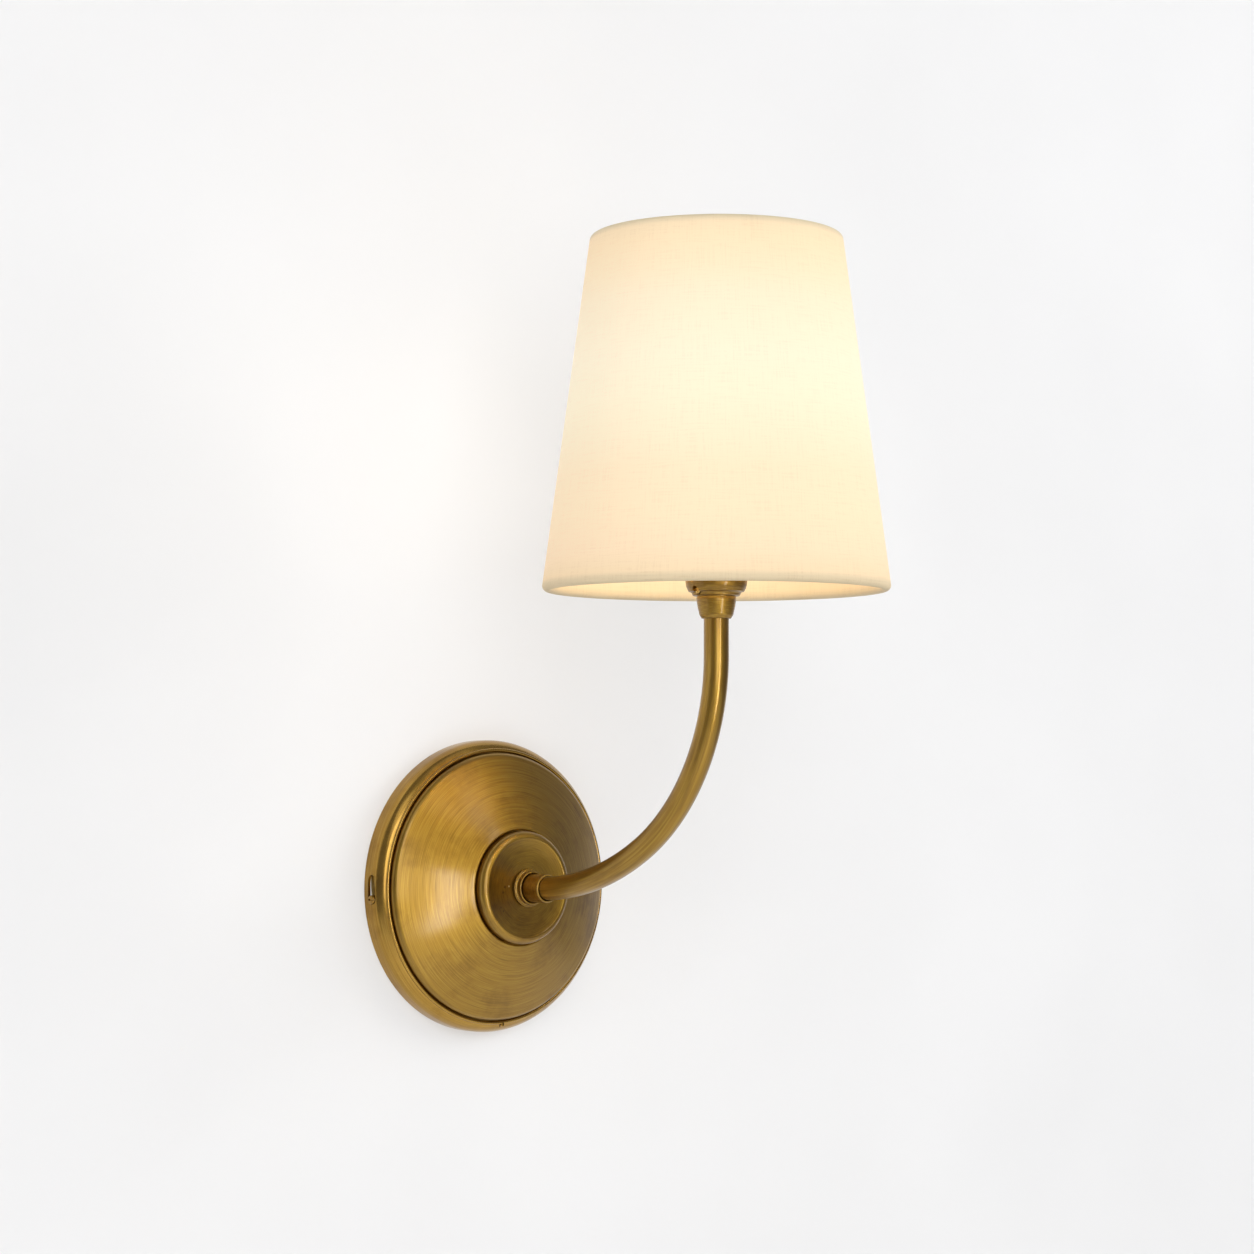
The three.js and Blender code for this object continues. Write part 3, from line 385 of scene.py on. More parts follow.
def centred(material, centre, turn_to_z):
    """Object coordinates moved to the lathe's axis, with that axis along Z."""
    place = add_node(material, "ShaderNodeTexCoord").outputs["Object"]
    moved = add_node(
        material, "ShaderNodeVectorMath", {0: place, 1: centre}, operation="SUBTRACT")
    return add_node(
        material, "ShaderNodeMapping", {"Vector": moved.outputs[0], "Rotation": turn_to_z}
    ).outputs["Vector"]


def grain(material, vector, spacing, detail):
    """Noise drawn out round the axis, with the given spacing across it in millimetres."""
    flat = add_node(
        material, "ShaderNodeVectorMath", {0: vector, 1: (1, 1, 0)}, operation="MULTIPLY")
    radius = add_node(
        material, "ShaderNodeVectorMath", {0: flat.outputs[0]}, operation="LENGTH")
    heading = add_node(
        material, "ShaderNodeVectorMath", {0: flat.outputs[0]}, operation="NORMALIZE")
    stretched = add_node(
        material, "ShaderNodeVectorMath",
        {0: heading.outputs[0], "Scale": BRUSH_LENGTH}, operation="SCALE")
    height = add_node(material, "ShaderNodeSeparateXYZ", {0: vector}).outputs["Z"]
    across = maths(material, "MULTIPLY_ADD", height, DEPTH_SHARE, radius.outputs["Value"])
    squeezed = maths(material, "MULTIPLY", across, 1 / (spacing * MM))
    lifted = add_node(material, "ShaderNodeCombineXYZ", {"Z": squeezed})
    grained = add_node(
        material, "ShaderNodeVectorMath", {0: stretched.outputs[0], 1: lifted.outputs[0]},
        operation="ADD")
    return add_node(
        material, "ShaderNodeTexNoise",
        {"Vector": grained.outputs[0], "Scale": 1.0, "Detail": detail, "Roughness": 0.6},
    ).outputs["Fac"]


def stains(material, vector, size, detail=5.0):
    """Soft noise for the clouds of a patina, with its size in millimetres."""
    return add_node(
        material, "ShaderNodeTexNoise",
        {"Vector": vector, "Scale": 1 / (size * MM), "Detail": detail, "Roughness": 0.62}
    ).outputs["Fac"]


# %% Small spots
def mark(material, places, width, colour, under):
    """Small spots of one colour at places in millimetres, over a colour."""
    here = add_node(material, "ShaderNodeTexCoord").outputs["Object"]
    rough_edge = add_node(
        material, "ShaderNodeTexNoise", {"Vector": here, "Scale": 1 / (0.8 * MM), "Detail": 3.0})
    for place in places:
        centre = Vector(place) * MM
        away = add_node(
            material, "ShaderNodeVectorMath", {0: here, 1: centre}, operation="DISTANCE")
        ragged = maths(
            material, "MULTIPLY_ADD", rough_edge.outputs["Fac"], width * MM, away.outputs["Value"])
        share = add_node(
            material, "ShaderNodeMapRange",
            {0: ragged, 1: 0.8 * width * MM, 2: 1.5 * width * MM, 3: 0.9, 4: 0.0})
        under = mix(material, under, linear(colour), share.outputs[0])
    return under


# %% The brass
DISH_TONES = ("#80601E", "#967225", "#A88632")  # dark lines, the sheet between, rubbed lines
# painted light: the ring's tones are lighter than the dish's, to brighten its shaded side
RING_TONES_PAINTED_LIGHTER = ("#94702A", "#A68034", "#B89244")
PATINA = "#A8905C"
LACQUER = {"Coat_Weight": 0.4, "Coat_Roughness": 0.16, "Coat_IOR": 1.6}
THIN_LACQUER = {"Coat_Weight": 0.3, "Coat_Roughness": 0.12, "Coat_IOR": 1.5}


def brass_colour(material, fine, bands, clouds, tones=DISH_TONES):
    """The brass's colour from its fine lines, its broader bands and its patina."""
    dark, middle, rubbed = tones
    lines = ramp(material, fine, [(0.32, dark), (0.52, middle), (0.70, rubbed)])
    broad = ramp(material, bands, [(0.30, dark), (0.66, rubbed)])
    worn = ramp(material, clouds, [(0.48, "#FFFFFF"), (0.74, PATINA)])
    return mix(material, mix(material, lines, broad, 0.2), worn, 0.7, "MULTIPLY")


def brushed_surface(material, shader, fine, smooth, rough):
    """Roughness and a slight relief that follow the brush lines."""
    share = add_node(material, "ShaderNodeMapRange", {0: fine, 1: 0.3, 2: 0.7, 3: rough, 4: smooth})
    link(material, share.outputs[0], shader, "Roughness")
    bump = add_node(
        material, "ShaderNodeBump", {"Height": fine, "Strength": 0.10, "Distance": 0.05 * MM})
    link(material, bump.outputs[0], shader, "Normal")


def antique_brass(
        name, lathe, tones=DISH_TONES, lacquer=LACQUER, marks=(), smooth=0.36, rough=0.46):
    """Brushed antique brass whose lines run round a lathe's (centre, turn to Z, axis)."""
    centre, turn_to_z, axis = lathe
    material, shader = new_material(name, Metallic=1.0, Anisotropic=0.5, **lacquer)
    vector = centred(material, centre, turn_to_z)
    fine = grain(material, vector, BRUSH_SPACING, 2.0)
    bands = grain(material, vector, BAND_SPACING, 3.0)
    colour = brass_colour(material, fine, bands, stains(material, vector, 26), tones)
    for places, width, tone in marks:
        colour = mark(material, places, width, tone, colour)
    link(material, colour, shader, "Base Color")
    brushed_surface(material, shader, fine, smooth, rough)
    tangent = add_node(material, "ShaderNodeTangent", direction_type="RADIAL", axis=axis)
    link(material, tangent.outputs[0], shader, "Tangent")
    return material


cup_front = depths("hub_cup")[1]
HUB_LATHE = ((0, 0, 0), (math.pi / 2, 0, 0), "Y")
LAMP_LATHE = (LAMP_AXIS[0], (0, 0, 0), "Z")
# small dark spots on the cup's face and one on the dish, and a small pale spot left of the collar
hub_brass = antique_brass("antique_brass_spun_plate", HUB_LATHE, marks=[
    ([(-12.6, -cup_front, 0.6), (-13.4, -cup_front, -1.6)], 0.9, "#5E4416"),
    ([(-10.4, -cup_front, 0.9)], 0.55, "#F2DFA8"),
    ([(-14.6, -cup_front, -8.0), (-13.2, -cup_front, -9.6)], 0.6, "#5E4416"),
    ([(-17.6, -24.2, 46.4)], 0.6, "#5E4416"),
])
# the ring's brass, with its tones painted lighter to brighten its shaded side
ring_brass = antique_brass(
    "antique_brass_ring_painted_lighter", HUB_LATHE, RING_TONES_PAINTED_LIGHTER, THIN_LACQUER, smooth=0.18, rough=0.26)
lamp_brass = antique_brass("antique_brass_turned_holder", LAMP_LATHE)
print("brass materials:", hub_brass.name, ring_brass.name, lamp_brass.name)

# %% [markdown]
# ## The backplate's ring
#
# The ring is a deep drum pressed from sheet. Its straight wall turns over a wide soft
# shoulder and ends in a fine bead, and behind the bead a ledge carries the dish. Two
# levelling slots let the side screws sit a little high or low, and a small pin low on
# the bead keeps the dish from turning.

# %% Ring outline
RING_WALL = 1.2
RING_FILLET = 0.6
RING_STRAIGHT = 5.6
RING_DEPTH = 10.9
BEAD_ROUND = 0.8
BEAD_RADIUS = PLATE_RADIUS - 4.3
LEDGE_DEPTH = 9.6
LEDGE_WIDTH = 3.4
FOOT_ROUND = 0.25
ring_inner = PLATE_RADIUS - RING_WALL
bead_inner = BEAD_RADIUS - BEAD_ROUND
ledge_back = LEDGE_DEPTH - RING_WALL
shoulder = curve(
    (PLATE_RADIUS, RING_STRAIGHT), (PLATE_RADIUS - 0.6, RING_STRAIGHT + 3.2),
    (BEAD_RADIUS + BEAD_ROUND, RING_DEPTH - 0.3), 12)
ring_outline = [
    (ring_inner, 0), (PLATE_RADIUS - FOOT_ROUND, 0), (PLATE_RADIUS, FOOT_ROUND), *shoulder,
    *arc(BEAD_RADIUS, RING_DEPTH, BEAD_ROUND, 8, 172, 12),
    (bead_inner, LEDGE_DEPTH), (bead_inner - LEDGE_WIDTH, LEDGE_DEPTH),
    (bead_inner - LEDGE_WIDTH, ledge_back), (ring_inner - RING_FILLET, ledge_back),
    (ring_inner, ledge_back - RING_FILLET),
]
print("ring outline:", len(ring_outline), "points")

# %% Slots, pin and ring
SLOT_LENGTH = 12.5
SLOT_WIDTH = 4.4
SLOT_DEPTH = 5.1
PIN_RADIUS = 0.85
PIN_AROUND = 2.7  # across, from the lowest place of the bead


def select_where(piece, test):
    """Opens a piece for editing with the points selected whose place, in mm, passes a test."""
    bpy.ops.object.mode_set(mode="EDIT")
    bpy.ops.mesh.select_mode(type="VERT")
    bpy.ops.mesh.select_all(action="DESELECT")
    bpy.ops.object.mode_set(mode="OBJECT")
    for vertex in piece.data.vertices:
        vertex.select = bool(test(vertex.co / MM))
    bpy.ops.object.mode_set(mode="EDIT")


def slotted_bar(length, width, thickness, centre, along):
    """A bar with round ends: a rod along X or Y whose two halves are pulled apart."""
    piece = rod(width / 2, thickness, (0, 0, 0), along)
    pull = (length - width) / 2 * MM
    way = Vector((0, 0, pull)) if along == "X" else Vector((pull, 0, 0))
    for hand in (-1, 1):
        select_where(piece, lambda place: place.dot(way) * hand > 0)
        bpy.ops.transform.translate(value=way * hand)
        bpy.ops.object.mode_set(mode="OBJECT")
    piece.location = Vector(centre) * MM
    bpy.ops.object.transform_apply(location=True, rotation=True, scale=True)
    return piece


ring = turn("spun_ring", ring_outline, turns=PLATE_TURNS)
slots = slotted_bar(SLOT_LENGTH, SLOT_WIDTH, 2 * PLATE_RADIUS + 4, (0, -SLOT_DEPTH, 0), "X")
pin_place = (PIN_AROUND, -RING_DEPTH + 0.6, -math.sqrt(BEAD_RADIUS ** 2 - PIN_AROUND ** 2) - 1.1)
pin_hole = rod(PIN_RADIUS + 0.15, 3, pin_place, "Y", turns=32)
carve(ring, slots, pin_hole)
dress(ring, ring_brass, "backplate_ring")
pin = rod(PIN_RADIUS, 2.2, Vector(pin_place) - Vector((0, 0.25, 0)), "Y", turns=32)
apply_modifier(pin, "BEVEL", width=0.3 * MM, segments=3)
dress(pin, ring_brass, part_of="backplate_ring")

# %% [markdown]
# ## The dish and the hub cup
#
# The dish is a shallow cone with a rolled lip. In its middle is a recess, and the hub
# cup sits there with a thin dark gap all round. The cup's face ends in a fine raised
# edge, which is what draws the bright line round it.

# %% Dish
DISH_WALL = 1.2
DISH_LIP = 3.4
DISH_SLOPE = math.radians(22.9)
DISH_CROWN = 1.1  # pull on the cone's side, which rises by half of it and ends highlights
dish_edge = radius_mm("backplate_dish")
lip_x = dish_edge - DISH_LIP
lip_y = RING_DEPTH + CLEARANCE
lip_end = 90 - math.degrees(DISH_SLOPE)
cup_back, cup_face = depths("hub_cup")
cup_radius = radius_mm("hub_cup")
recess_radius = cup_radius + CLEARANCE
recess_lip = recess_radius + 0.6
lip_last = arc(lip_x, lip_y, DISH_LIP, lip_end, lip_end, 1)[0]
dish_top = lip_last[1] + (lip_last[0] - recess_lip) * math.tan(DISH_SLOPE)
hub_floor = cup_back - CLEARANCE
cone_middle = ((lip_last[0] + recess_lip) / 2, (lip_last[1] + dish_top) / 2 + DISH_CROWN)
cone_end = (recess_lip + 0.5, dish_top - 0.5 * math.tan(DISH_SLOPE))
dish_outline = [
    (dish_edge - DISH_WALL, LEDGE_DEPTH + CLEARANCE), (dish_edge, LEDGE_DEPTH + CLEARANCE),
    *arc(lip_x, lip_y, DISH_LIP, 0, lip_end, 14)[:-1],
    *curve(lip_last, cone_middle, cone_end, 14)[:-1],
    *curve(cone_end, (recess_lip - 0.15, dish_top + 0.15), (recess_radius, dish_top - 0.5), 6),
    (recess_radius, hub_floor), (TUBE_HOLE, hub_floor), (TUBE_HOLE, hub_floor - DISH_WALL),
    (recess_radius + 1.5, hub_floor - DISH_WALL),
    *reversed(arc(lip_x, lip_y, DISH_LIP - DISH_WALL, 0, lip_end, 8)),
]
dish = turn("spun_dish", dish_outline, turns=PLATE_TURNS)
dress(dish, hub_brass, "backplate_dish")

# %% Hub cup
CUP_WALL = 1.2
CUP_ROUND = 3.1
FACE_DROP = 0.2
cup_edge = cup_radius - CUP_ROUND
cup_outline = [
    (cup_radius - CUP_WALL, cup_back), (cup_radius, cup_back),
    *arc(cup_edge, cup_face - CUP_ROUND, CUP_ROUND, 0, 76, 14),
    *curve((cup_edge + 0.62, cup_face - 0.06), (cup_edge + 0.1, cup_face + 0.14),
           (cup_edge - 0.45, cup_face - FACE_DROP), 6),
    (cup_edge * 0.5, cup_face - 0.05), (TUBE_HOLE, cup_face), (TUBE_HOLE, cup_face - CUP_WALL),
    (cup_edge - 0.6, cup_face - CUP_WALL - FACE_DROP),
    (cup_radius - CUP_WALL, cup_face - CUP_ROUND),
]
cup = turn("spun_hub_cup", cup_outline, turns=128)
dress(cup, hub_brass, "hub_cup")

# %% [markdown]
# ## Collar and neck sleeve
#
# Two small turned pieces finish the hub: a collar with two beads that lies on the cup's
# face, and a plain sleeve round the root of the arm.

# %% Collar and sleeve
COLLAR_LIP = 7.2
COLLAR_BEAD = 0.5
SLEEVE_ROUND = 0.6
collar_radius, sleeve_radius = radius_mm("collar_ring"), radius_mm("neck_sleeve")
neck_seat, collar_top = depths("collar_ring")
neck_end = depths("neck_sleeve")[1]
collar_outline = [
    (sleeve_radius + CLEARANCE, neck_seat), (collar_radius - 0.25, neck_seat),
    *arc(collar_radius - COLLAR_BEAD, neck_seat + 0.55, COLLAR_BEAD, -60, 84, 9),
    *curve((collar_radius - 0.6, neck_seat + 1), (COLLAR_LIP - 0.15, neck_seat + 1.1),
           (COLLAR_LIP - 0.15, collar_top - 1.1), 6),
    *arc(COLLAR_LIP - COLLAR_BEAD, collar_top - COLLAR_BEAD, COLLAR_BEAD, -30, 100, 9),
    (sleeve_radius + CLEARANCE, collar_top - 0.25),
]
collar = turn("turned_collar", collar_outline)
dress(collar, hub_brass, "collar_ring")
sleeve_outline = [
    (TUBE_HOLE, neck_seat), (sleeve_radius, neck_seat),
    *arc(sleeve_radius - SLEEVE_ROUND, neck_end - SLEEVE_ROUND, SLEEVE_ROUND, 0, 90, 7),
    (TUBE_HOLE, neck_end),
]
sleeve = turn("turned_neck_sleeve", sleeve_outline)
dress(sleeve, hub_brass, "neck_sleeve")

# %% [markdown]
# ## The arm
#
# The arm is one tube, bent cold in two sweeps: a first bend out of the neck and a
# tighter one up into the lampholder. Here a circle is extruded straight, spun round the
# centre of each bend in turn and extruded straight again. A curve with a bevel would
# make the same shape, but the spin shows where the bending tool stood.

# %% Bend the tube
BEND_IN_SLEEVE = 6
FIRST_BEND = 129.8
FIRST_ANGLE = math.radians(30.5)
TUBE_WALL = 1.25
tail = -arm_high.y
tube_top = arm_high.z
bend_start = neck_end - BEND_IN_SLEEVE
bend_sine = math.sin(FIRST_ANGLE)
second_bend = (REACH - bend_start - FIRST_BEND * bend_sine) / (1 - bend_sine)
bend_top = FIRST_BEND * (1 - math.cos(FIRST_ANGLE)) + second_bend * math.cos(FIRST_ANGLE)


def bend_tube(name, radius, turns=56):
    """The arm's outer skin, open at both ends."""
    bpy.ops.object.select_all(action="DESELECT")
    bpy.ops.mesh.primitive_circle_add(
        vertices=turns, radius=radius * MM, location=(0, -tail * MM, 0), rotation=AIM["Y"])
    piece = bpy.context.object
    piece.name = piece.data.name = name
    bpy.ops.object.transform_apply(location=True, rotation=True, scale=True)
    bpy.ops.object.mode_set(mode="EDIT")
    bpy.ops.mesh.select_all(action="SELECT")
    bpy.ops.mesh.extrude_region_move(
        TRANSFORM_OT_translate={"value": (0, -(bend_start - tail) * MM, 0)})
    bpy.ops.mesh.spin(
        steps=44, angle=FIRST_ANGLE, center=(0, -bend_start * MM, FIRST_BEND * MM), axis=(1, 0, 0))
    bpy.ops.mesh.spin(
        steps=44, angle=math.pi / 2 - FIRST_ANGLE,
        center=(0, (second_bend - REACH) * MM, bend_top * MM), axis=(1, 0, 0))
    bpy.ops.mesh.extrude_region_move(
        TRANSFORM_OT_translate={"value": (0, 0, (tube_top - bend_top) * MM)})
    close_mesh()
    return piece


arm = bend_tube("bent_arm_tube", tube_radius)
low, high = [Vector(c) / MM for c in (arm.bound_box[0], arm.bound_box[6])]
print("arm from", [round(v, 1) for v in low], "to", [round(v, 1) for v in high])

# %% Wall of the tube
def straightened(piece):
    """Stores each point's place on the tube as if it were straight again, along Z."""
    first_length = FIRST_BEND * FIRST_ANGLE
    second_length = second_bend * (math.pi / 2 - FIRST_ANGLE)
    store = piece.data.attributes.new("straight", "FLOAT_VECTOR", "POINT")
    for vertex, item in zip(piece.data.vertices, store.data):
        x, out, up = vertex.co.x / MM, -vertex.co.y / MM, vertex.co.z / MM
        first = math.atan2(out - bend_start, FIRST_BEND - up)
        second = math.atan2(up - bend_top, out - (REACH - second_bend))
        if out <= bend_start + 0.01:
            along, side = out - bend_start, -up
        elif first <= FIRST_ANGLE + 0.001:
            along = FIRST_BEND * first
            side = math.hypot(out - bend_start, FIRST_BEND - up) - FIRST_BEND
        elif up <= bend_top + 0.01:
            along = first_length + second_length + second_bend * second
            side = math.hypot(up - bend_top, out - (REACH - second_bend)) - second_bend
        else:
            along, side = first_length + second_length + up - bend_top, out - REACH
        item.vector = (x * MM, side * MM, along * MM)


apply_modifier(arm, "SOLIDIFY", thickness=TUBE_WALL * MM, offset=-1)
straightened(arm)

# %% [markdown]
# ## Brass drawn through a die
#
# The tube's lines run along it, because it was drawn and then polished lengthwise. The
# place along the straightened tube, stored on each point before, carries the pattern
# round the bends without a break.

# %% Drawn brass
DRAWN_SPACING = 0.9  # between the polishing lines
tube_brass, tube_shader = new_material("antique_brass_drawn_tube", Metallic=1.0, **LACQUER)
place = add_node(tube_brass, "ShaderNodeAttribute", attribute_name="straight").outputs["Vector"]
drawn, wiped = [
    add_node(tube_brass, "ShaderNodeMapping", {"Vector": place, "Scale": (1, 1, share)}).outputs[0]
    for share in (0.03, 0.3)
]
lines = stains(tube_brass, drawn, DRAWN_SPACING, 3.0)
link(tube_brass, brass_colour(
    tube_brass, lines, stains(tube_brass, drawn, 3.2, 2.0), stains(tube_brass, wiped, 16)),
    tube_shader, "Base Color")
brushed_surface(tube_brass, tube_shader, lines, 0.28, 0.38)
dress(arm, tube_brass, "arm_tube")

# %% [markdown]
# ## The lampholder
#
# Below the shade only the holder's cap shows: a small turned cup with a rounded foot, a
# waist, and a bowl with two fine steps under it. A grub screw in its side locks it.

# %% Cap
cap_radius = radius_mm("lampholder_cap")
cap_height = heights("lampholder_cap")[1]
CAP_WALL = 1.15
CAP_FLOOR = 13.2
WAIST = 8.9
BRIM = 0.25
cap_outline = [
    (TUBE_HOLE, 0.15), *curve((5.5, 0), (6.0, 0), (6.15, 0.5), 5),
    *curve((6.2, 0.62), (6.7, 1.1), (6.85, 1.9), 4),
    *curve((6.85, 1.9), (7.15, 3.2), (7.5, 4.8), 4), *curve((7.5, 4.8), (7.8, 6.4), (7.95, 8.2), 5),
    (7.82, WAIST - 0.25), (7.86, WAIST),
    *curve((8.2, WAIST), (9.25, WAIST), (9.65, WAIST + 0.55), 6),
    *curve((9.66, WAIST + 0.8), (9.9, WAIST + 1.6), (10.9, WAIST + 1.75), 6),
    *curve((10.9, WAIST + 1.75), (11.35, WAIST + 1.95), (11.42, WAIST + 2.4), 4),
    *curve((11.46, WAIST + 2.6), (12.2, WAIST + 3.6), (cap_radius, WAIST + 5.9), 8),
    (cap_radius, cap_height - BRIM), (cap_radius - BRIM, cap_height),
    (cap_radius - CAP_WALL, cap_height), (cap_radius - CAP_WALL, CAP_FLOOR), (TUBE_HOLE, CAP_FLOOR),
]
cap = turn("turned_holder_cap", cap_outline, at_lamp, turns=112)
grub_low, grub_high = box_mm("cap_grub_screw")
grub_centre = (grub_low + grub_high) / 2
hole_radius = (grub_high.z - grub_low.z) / 2 + CLEARANCE
carve(cap, rod(hole_radius, 9, (3.2 - cap_radius, grub_centre.y, grub_centre.z), "X"))
dress(cap, lamp_brass, "lampholder_cap")

# %% Holder shell
shell_foot, shell_top = heights("lampholder_shell")
SHELL_MOUTH = 8.65
BAND_PLACE = shell_foot + 7.25
BAND_HALF = 1.25
shell_outline = [
    (cap_radius - CAP_WALL, shell_foot), (cap_radius, shell_foot),
    (cap_radius, BAND_PLACE - BAND_HALF),
    *arc(cap_radius - 0.4, BAND_PLACE, 0.9, -60, 60, 8), (cap_radius, BAND_PLACE + BAND_HALF),
    *arc(cap_radius - 0.8, shell_top - 0.8, 0.8, 0, 90, 5),
    (SHELL_MOUTH + 0.3, shell_top), (SHELL_MOUTH, shell_top - 0.3),
    (SHELL_MOUTH, shell_top - CAP_WALL), (cap_radius - CAP_WALL, shell_top - CAP_WALL),
]
shell = turn("turned_holder_shell", shell_outline, at_lamp)
dress(shell, lamp_brass, "lampholder_shell")

# %% [markdown]
# ## The shade
#
# Linen is laminated to a stiff liner, rolled round a wire ring at each end and turned
# inside to a short hem. The side is a cone, so the cloth was cut from a sheet as a flat
# arc. The rolls are what give the soft shaded line at each edge.

# %% Shade measures
WIRE = 1.25
CLOTH = 0.5
LINER = 0.5
HEM = 9
roll = WIRE + CLEARANCE + CLOTH
cloth_foot, cloth_top = heights("shade_fabric")
bottom_roll = Vector((radius_mm("shade_fabric") - roll, cloth_foot + roll))
top_roll = Vector((radius_mm("shade_top_ring") - WIRE, cloth_top - roll))
lean = math.atan2(bottom_roll.x - top_roll.x, top_roll.y - bottom_roll.y)


def side_radius(up):
    """The linen's outer radius at a height on its straight side."""
    share = (up - bottom_roll.y) / (top_roll.y - bottom_roll.y)
    return bottom_roll.x + (top_roll.x - bottom_roll.x) * share + roll / math.cos(lean)


hem_inset = 2 * (CLOTH + CLEARANCE) + LINER
print("rolls at", [round(v, 2) for v in bottom_roll], [round(v, 2) for v in top_roll])

# %% Linen outline
ROLL_START = 165  # the cloth leaves the wire for the hem at this angle
tilt = math.degrees(lean)
side_rise = top_roll.y - bottom_roll.y
side_steps = [bottom_roll.y + side_rise * share for share in (0.2, 0.4, 0.6, 0.8)]


def cloth_line(inset):
    """The cloth in section, from the lower hem round both wires to the upper hem."""
    low, high = bottom_roll.y + HEM, top_roll.y - HEM
    return [
        (side_radius(low) - hem_inset - CLOTH + inset, low),
        *arc(*bottom_roll, roll - inset, ROLL_START, 360 + tilt, 20),
        *[(side_radius(up) - inset / math.cos(lean), up) for up in side_steps],
        *arc(*top_roll, roll - inset, tilt, 360 - ROLL_START, 20),
        (side_radius(high) - hem_inset - CLOTH + inset, high),
    ]


linen_piece = turn(
    "linen_shade", cloth_line(0) + cloth_line(CLOTH)[::-1], at_lamp, turns=SHADE_TURNS)

# %% Slits for the shade's arms
SLIT_WIDTH = 3.2
ARM_ANGLES = (90, 210, 330)
slit_radius = top_roll.x - WIRE - 0.9 * roll
for angle in ARM_ANGLES:
    slit = bar((2.6 * roll, SLIT_WIDTH, HEM + 6), (slit_radius, 0, top_roll.y - HEM / 2))
    slit.rotation_euler.z = math.radians(angle)
    slit.location = (0, -REACH * MM, FOOT * MM)
    carve(linen_piece, slit)

# %% [markdown]
# ## Linen lit from inside
#
# The cloth is off-white linen, plain woven, with slightly uneven threads, glued to a
# clear styrene sheet. Its glow from the bulb is painted light, emission by height that
# is brightest level with the bulb, and its two rolled edges are painted dull, as shade
# where the wire stands in the light's way. The threads are two noises, each drawn out
# along its own thread, on coordinates that run round and up the cone. Painted by height,
# the glow stays on the cloth in any view.

# %% Linen material
THREAD = 0.6  # thread spacing as drawn; the real cloth has about two threads a millimetre
MEAN_RADIUS = 61
GLOW_SPAN = 141.6  # height of the shade, over which the glow changes
LINEN_LIGHT = 0.56
LINER_LIGHT = 0.76


def shade_glow(material, shader, vector, stops, strength):
    """Painted light: emission for what comes through the cloth, by height in mm above the lower
    edge.
    """
    height = add_node(material, "ShaderNodeSeparateXYZ", {0: vector}).outputs["Z"]
    share = add_node(
        material, "ShaderNodeMapRange",
        {0: height, 1: (FOOT + cloth_foot) * MM, 2: (FOOT + cloth_foot + GLOW_SPAN) * MM,
         3: 0.0, 4: 1.0})
    places = [(up / GLOW_SPAN, colour) for up, colour in stops]
    glow = ramp(material, share.outputs[0], places)
    link(material, glow, shader, "Emission Color")
    shader.inputs["Emission Strength"].default_value = strength


def weave(material, vector):
    """Crossed threads on a cone: one noise drawn out round it and one up it."""
    parts = add_node(material, "ShaderNodeSeparateXYZ", {0: vector}).outputs
    heading = maths(material, "ARCTAN2", parts["Y"], parts["X"])
    across = maths(material, "MULTIPLY", heading, MEAN_RADIUS * MM)
    cloth_place = add_node(
        material, "ShaderNodeCombineXYZ", {"X": across, "Y": parts["Z"]}).outputs[0]
    threads = []
    for scale in ((1, 0.05, 1), (0.05, 1, 1)):
        way = add_node(
            material, "ShaderNodeMapping", {"Vector": cloth_place, "Scale": scale}).outputs[0]
        threads.append(stains(material, way, THREAD, 1.0))
    return maths(material, "ADD", *threads)


linen, linen_shader = new_material("linen_lit_from_inside", Roughness=0.9)
linen_place = centred(linen, LAMP_AXIS[0], (0, 0, 0))
crossed = weave(linen, linen_place)
link(linen, ramp(linen, crossed, [(0.5, "#C8B696"), (1.5, "#D2C2A2")]), linen_shader, "Base Color")
# painted glow by height in mm, dark at both ends as painted shade of the rolled edges
LINEN_GLOW = [
    (0, "#4A3C2C"), (2.2, "#7A6048"), (4.2, "#C09E7C"), (12.8, "#D2AF94"), (28, "#D5BA9E"),
    (44, "#D5BEA5"), (58, "#D5CAB6"), (73, "#D9D4C3"), (88, "#D9D4C6"), (99, "#D9D0C0"),
    (111, "#D5C8B6"), (122, "#D5BEA3"), (134, "#D1B290"), (138.6, "#C5A788"), (141, "#534D40")]
shade_glow(linen, linen_shader, linen_place, LINEN_GLOW, LINEN_LIGHT)
weave_bump = add_node(
    linen, "ShaderNodeBump", {"Height": crossed, "Strength": 0.05, "Distance": 0.12 * MM})
link(linen, weave_bump.outputs[0], linen_shader, "Normal")
dress(linen_piece, linen, "shade_fabric")

# %% Liner
liner_material, liner_shader = new_material("styrene_liner_lit_from_inside", Roughness=0.5)
liner_place = centred(liner_material, LAMP_AXIS[0], (0, 0, 0))
shine = stains(liner_material, liner_place, 12)
link(liner_material, ramp(liner_material, shine, [(0.3, "#C8BEA9"), (0.7, "#D0C7B4")]),
     liner_shader, "Base Color")
# painted light: the liner's glow, by height, brightest near the lower edge and fading upwards
shade_glow(liner_material, liner_shader, liner_place, [
    (0, "#FFEED6"), (24, "#FFEED6"), (60, "#D8CAB2"), (140, "#B8AA90")], LINER_LIGHT)
liner_out = CLOTH + CLEARANCE
liner_low, liner_high = bottom_roll.y + WIRE + CLEARANCE, top_roll.y - WIRE - CLEARANCE


def liner_point(inset, up):
    """A point of the liner's section, a way in from the linen's outside."""
    return side_radius(up) - inset / math.cos(lean), up


liner = turn("styrene_liner", [
    liner_point(liner_out, liner_low), liner_point(liner_out, liner_high),
    liner_point(liner_out + LINER, liner_high), liner_point(liner_out + LINER, liner_low),
], at_lamp, turns=SHADE_TURNS)
dress(liner, liner_material, "shade_liner")

# %% [markdown]
# ## Small hardware finishes
#
# Screws, washers, wires and insulators are small, but each is a real finish too: bright
# drawn wire, yellow passivated zinc, turned brass, glazed steatite, moulded nylon and
# soft PVC. One function makes them from two colours, a range of roughness and a grain
# whose size suits how the surface was made.

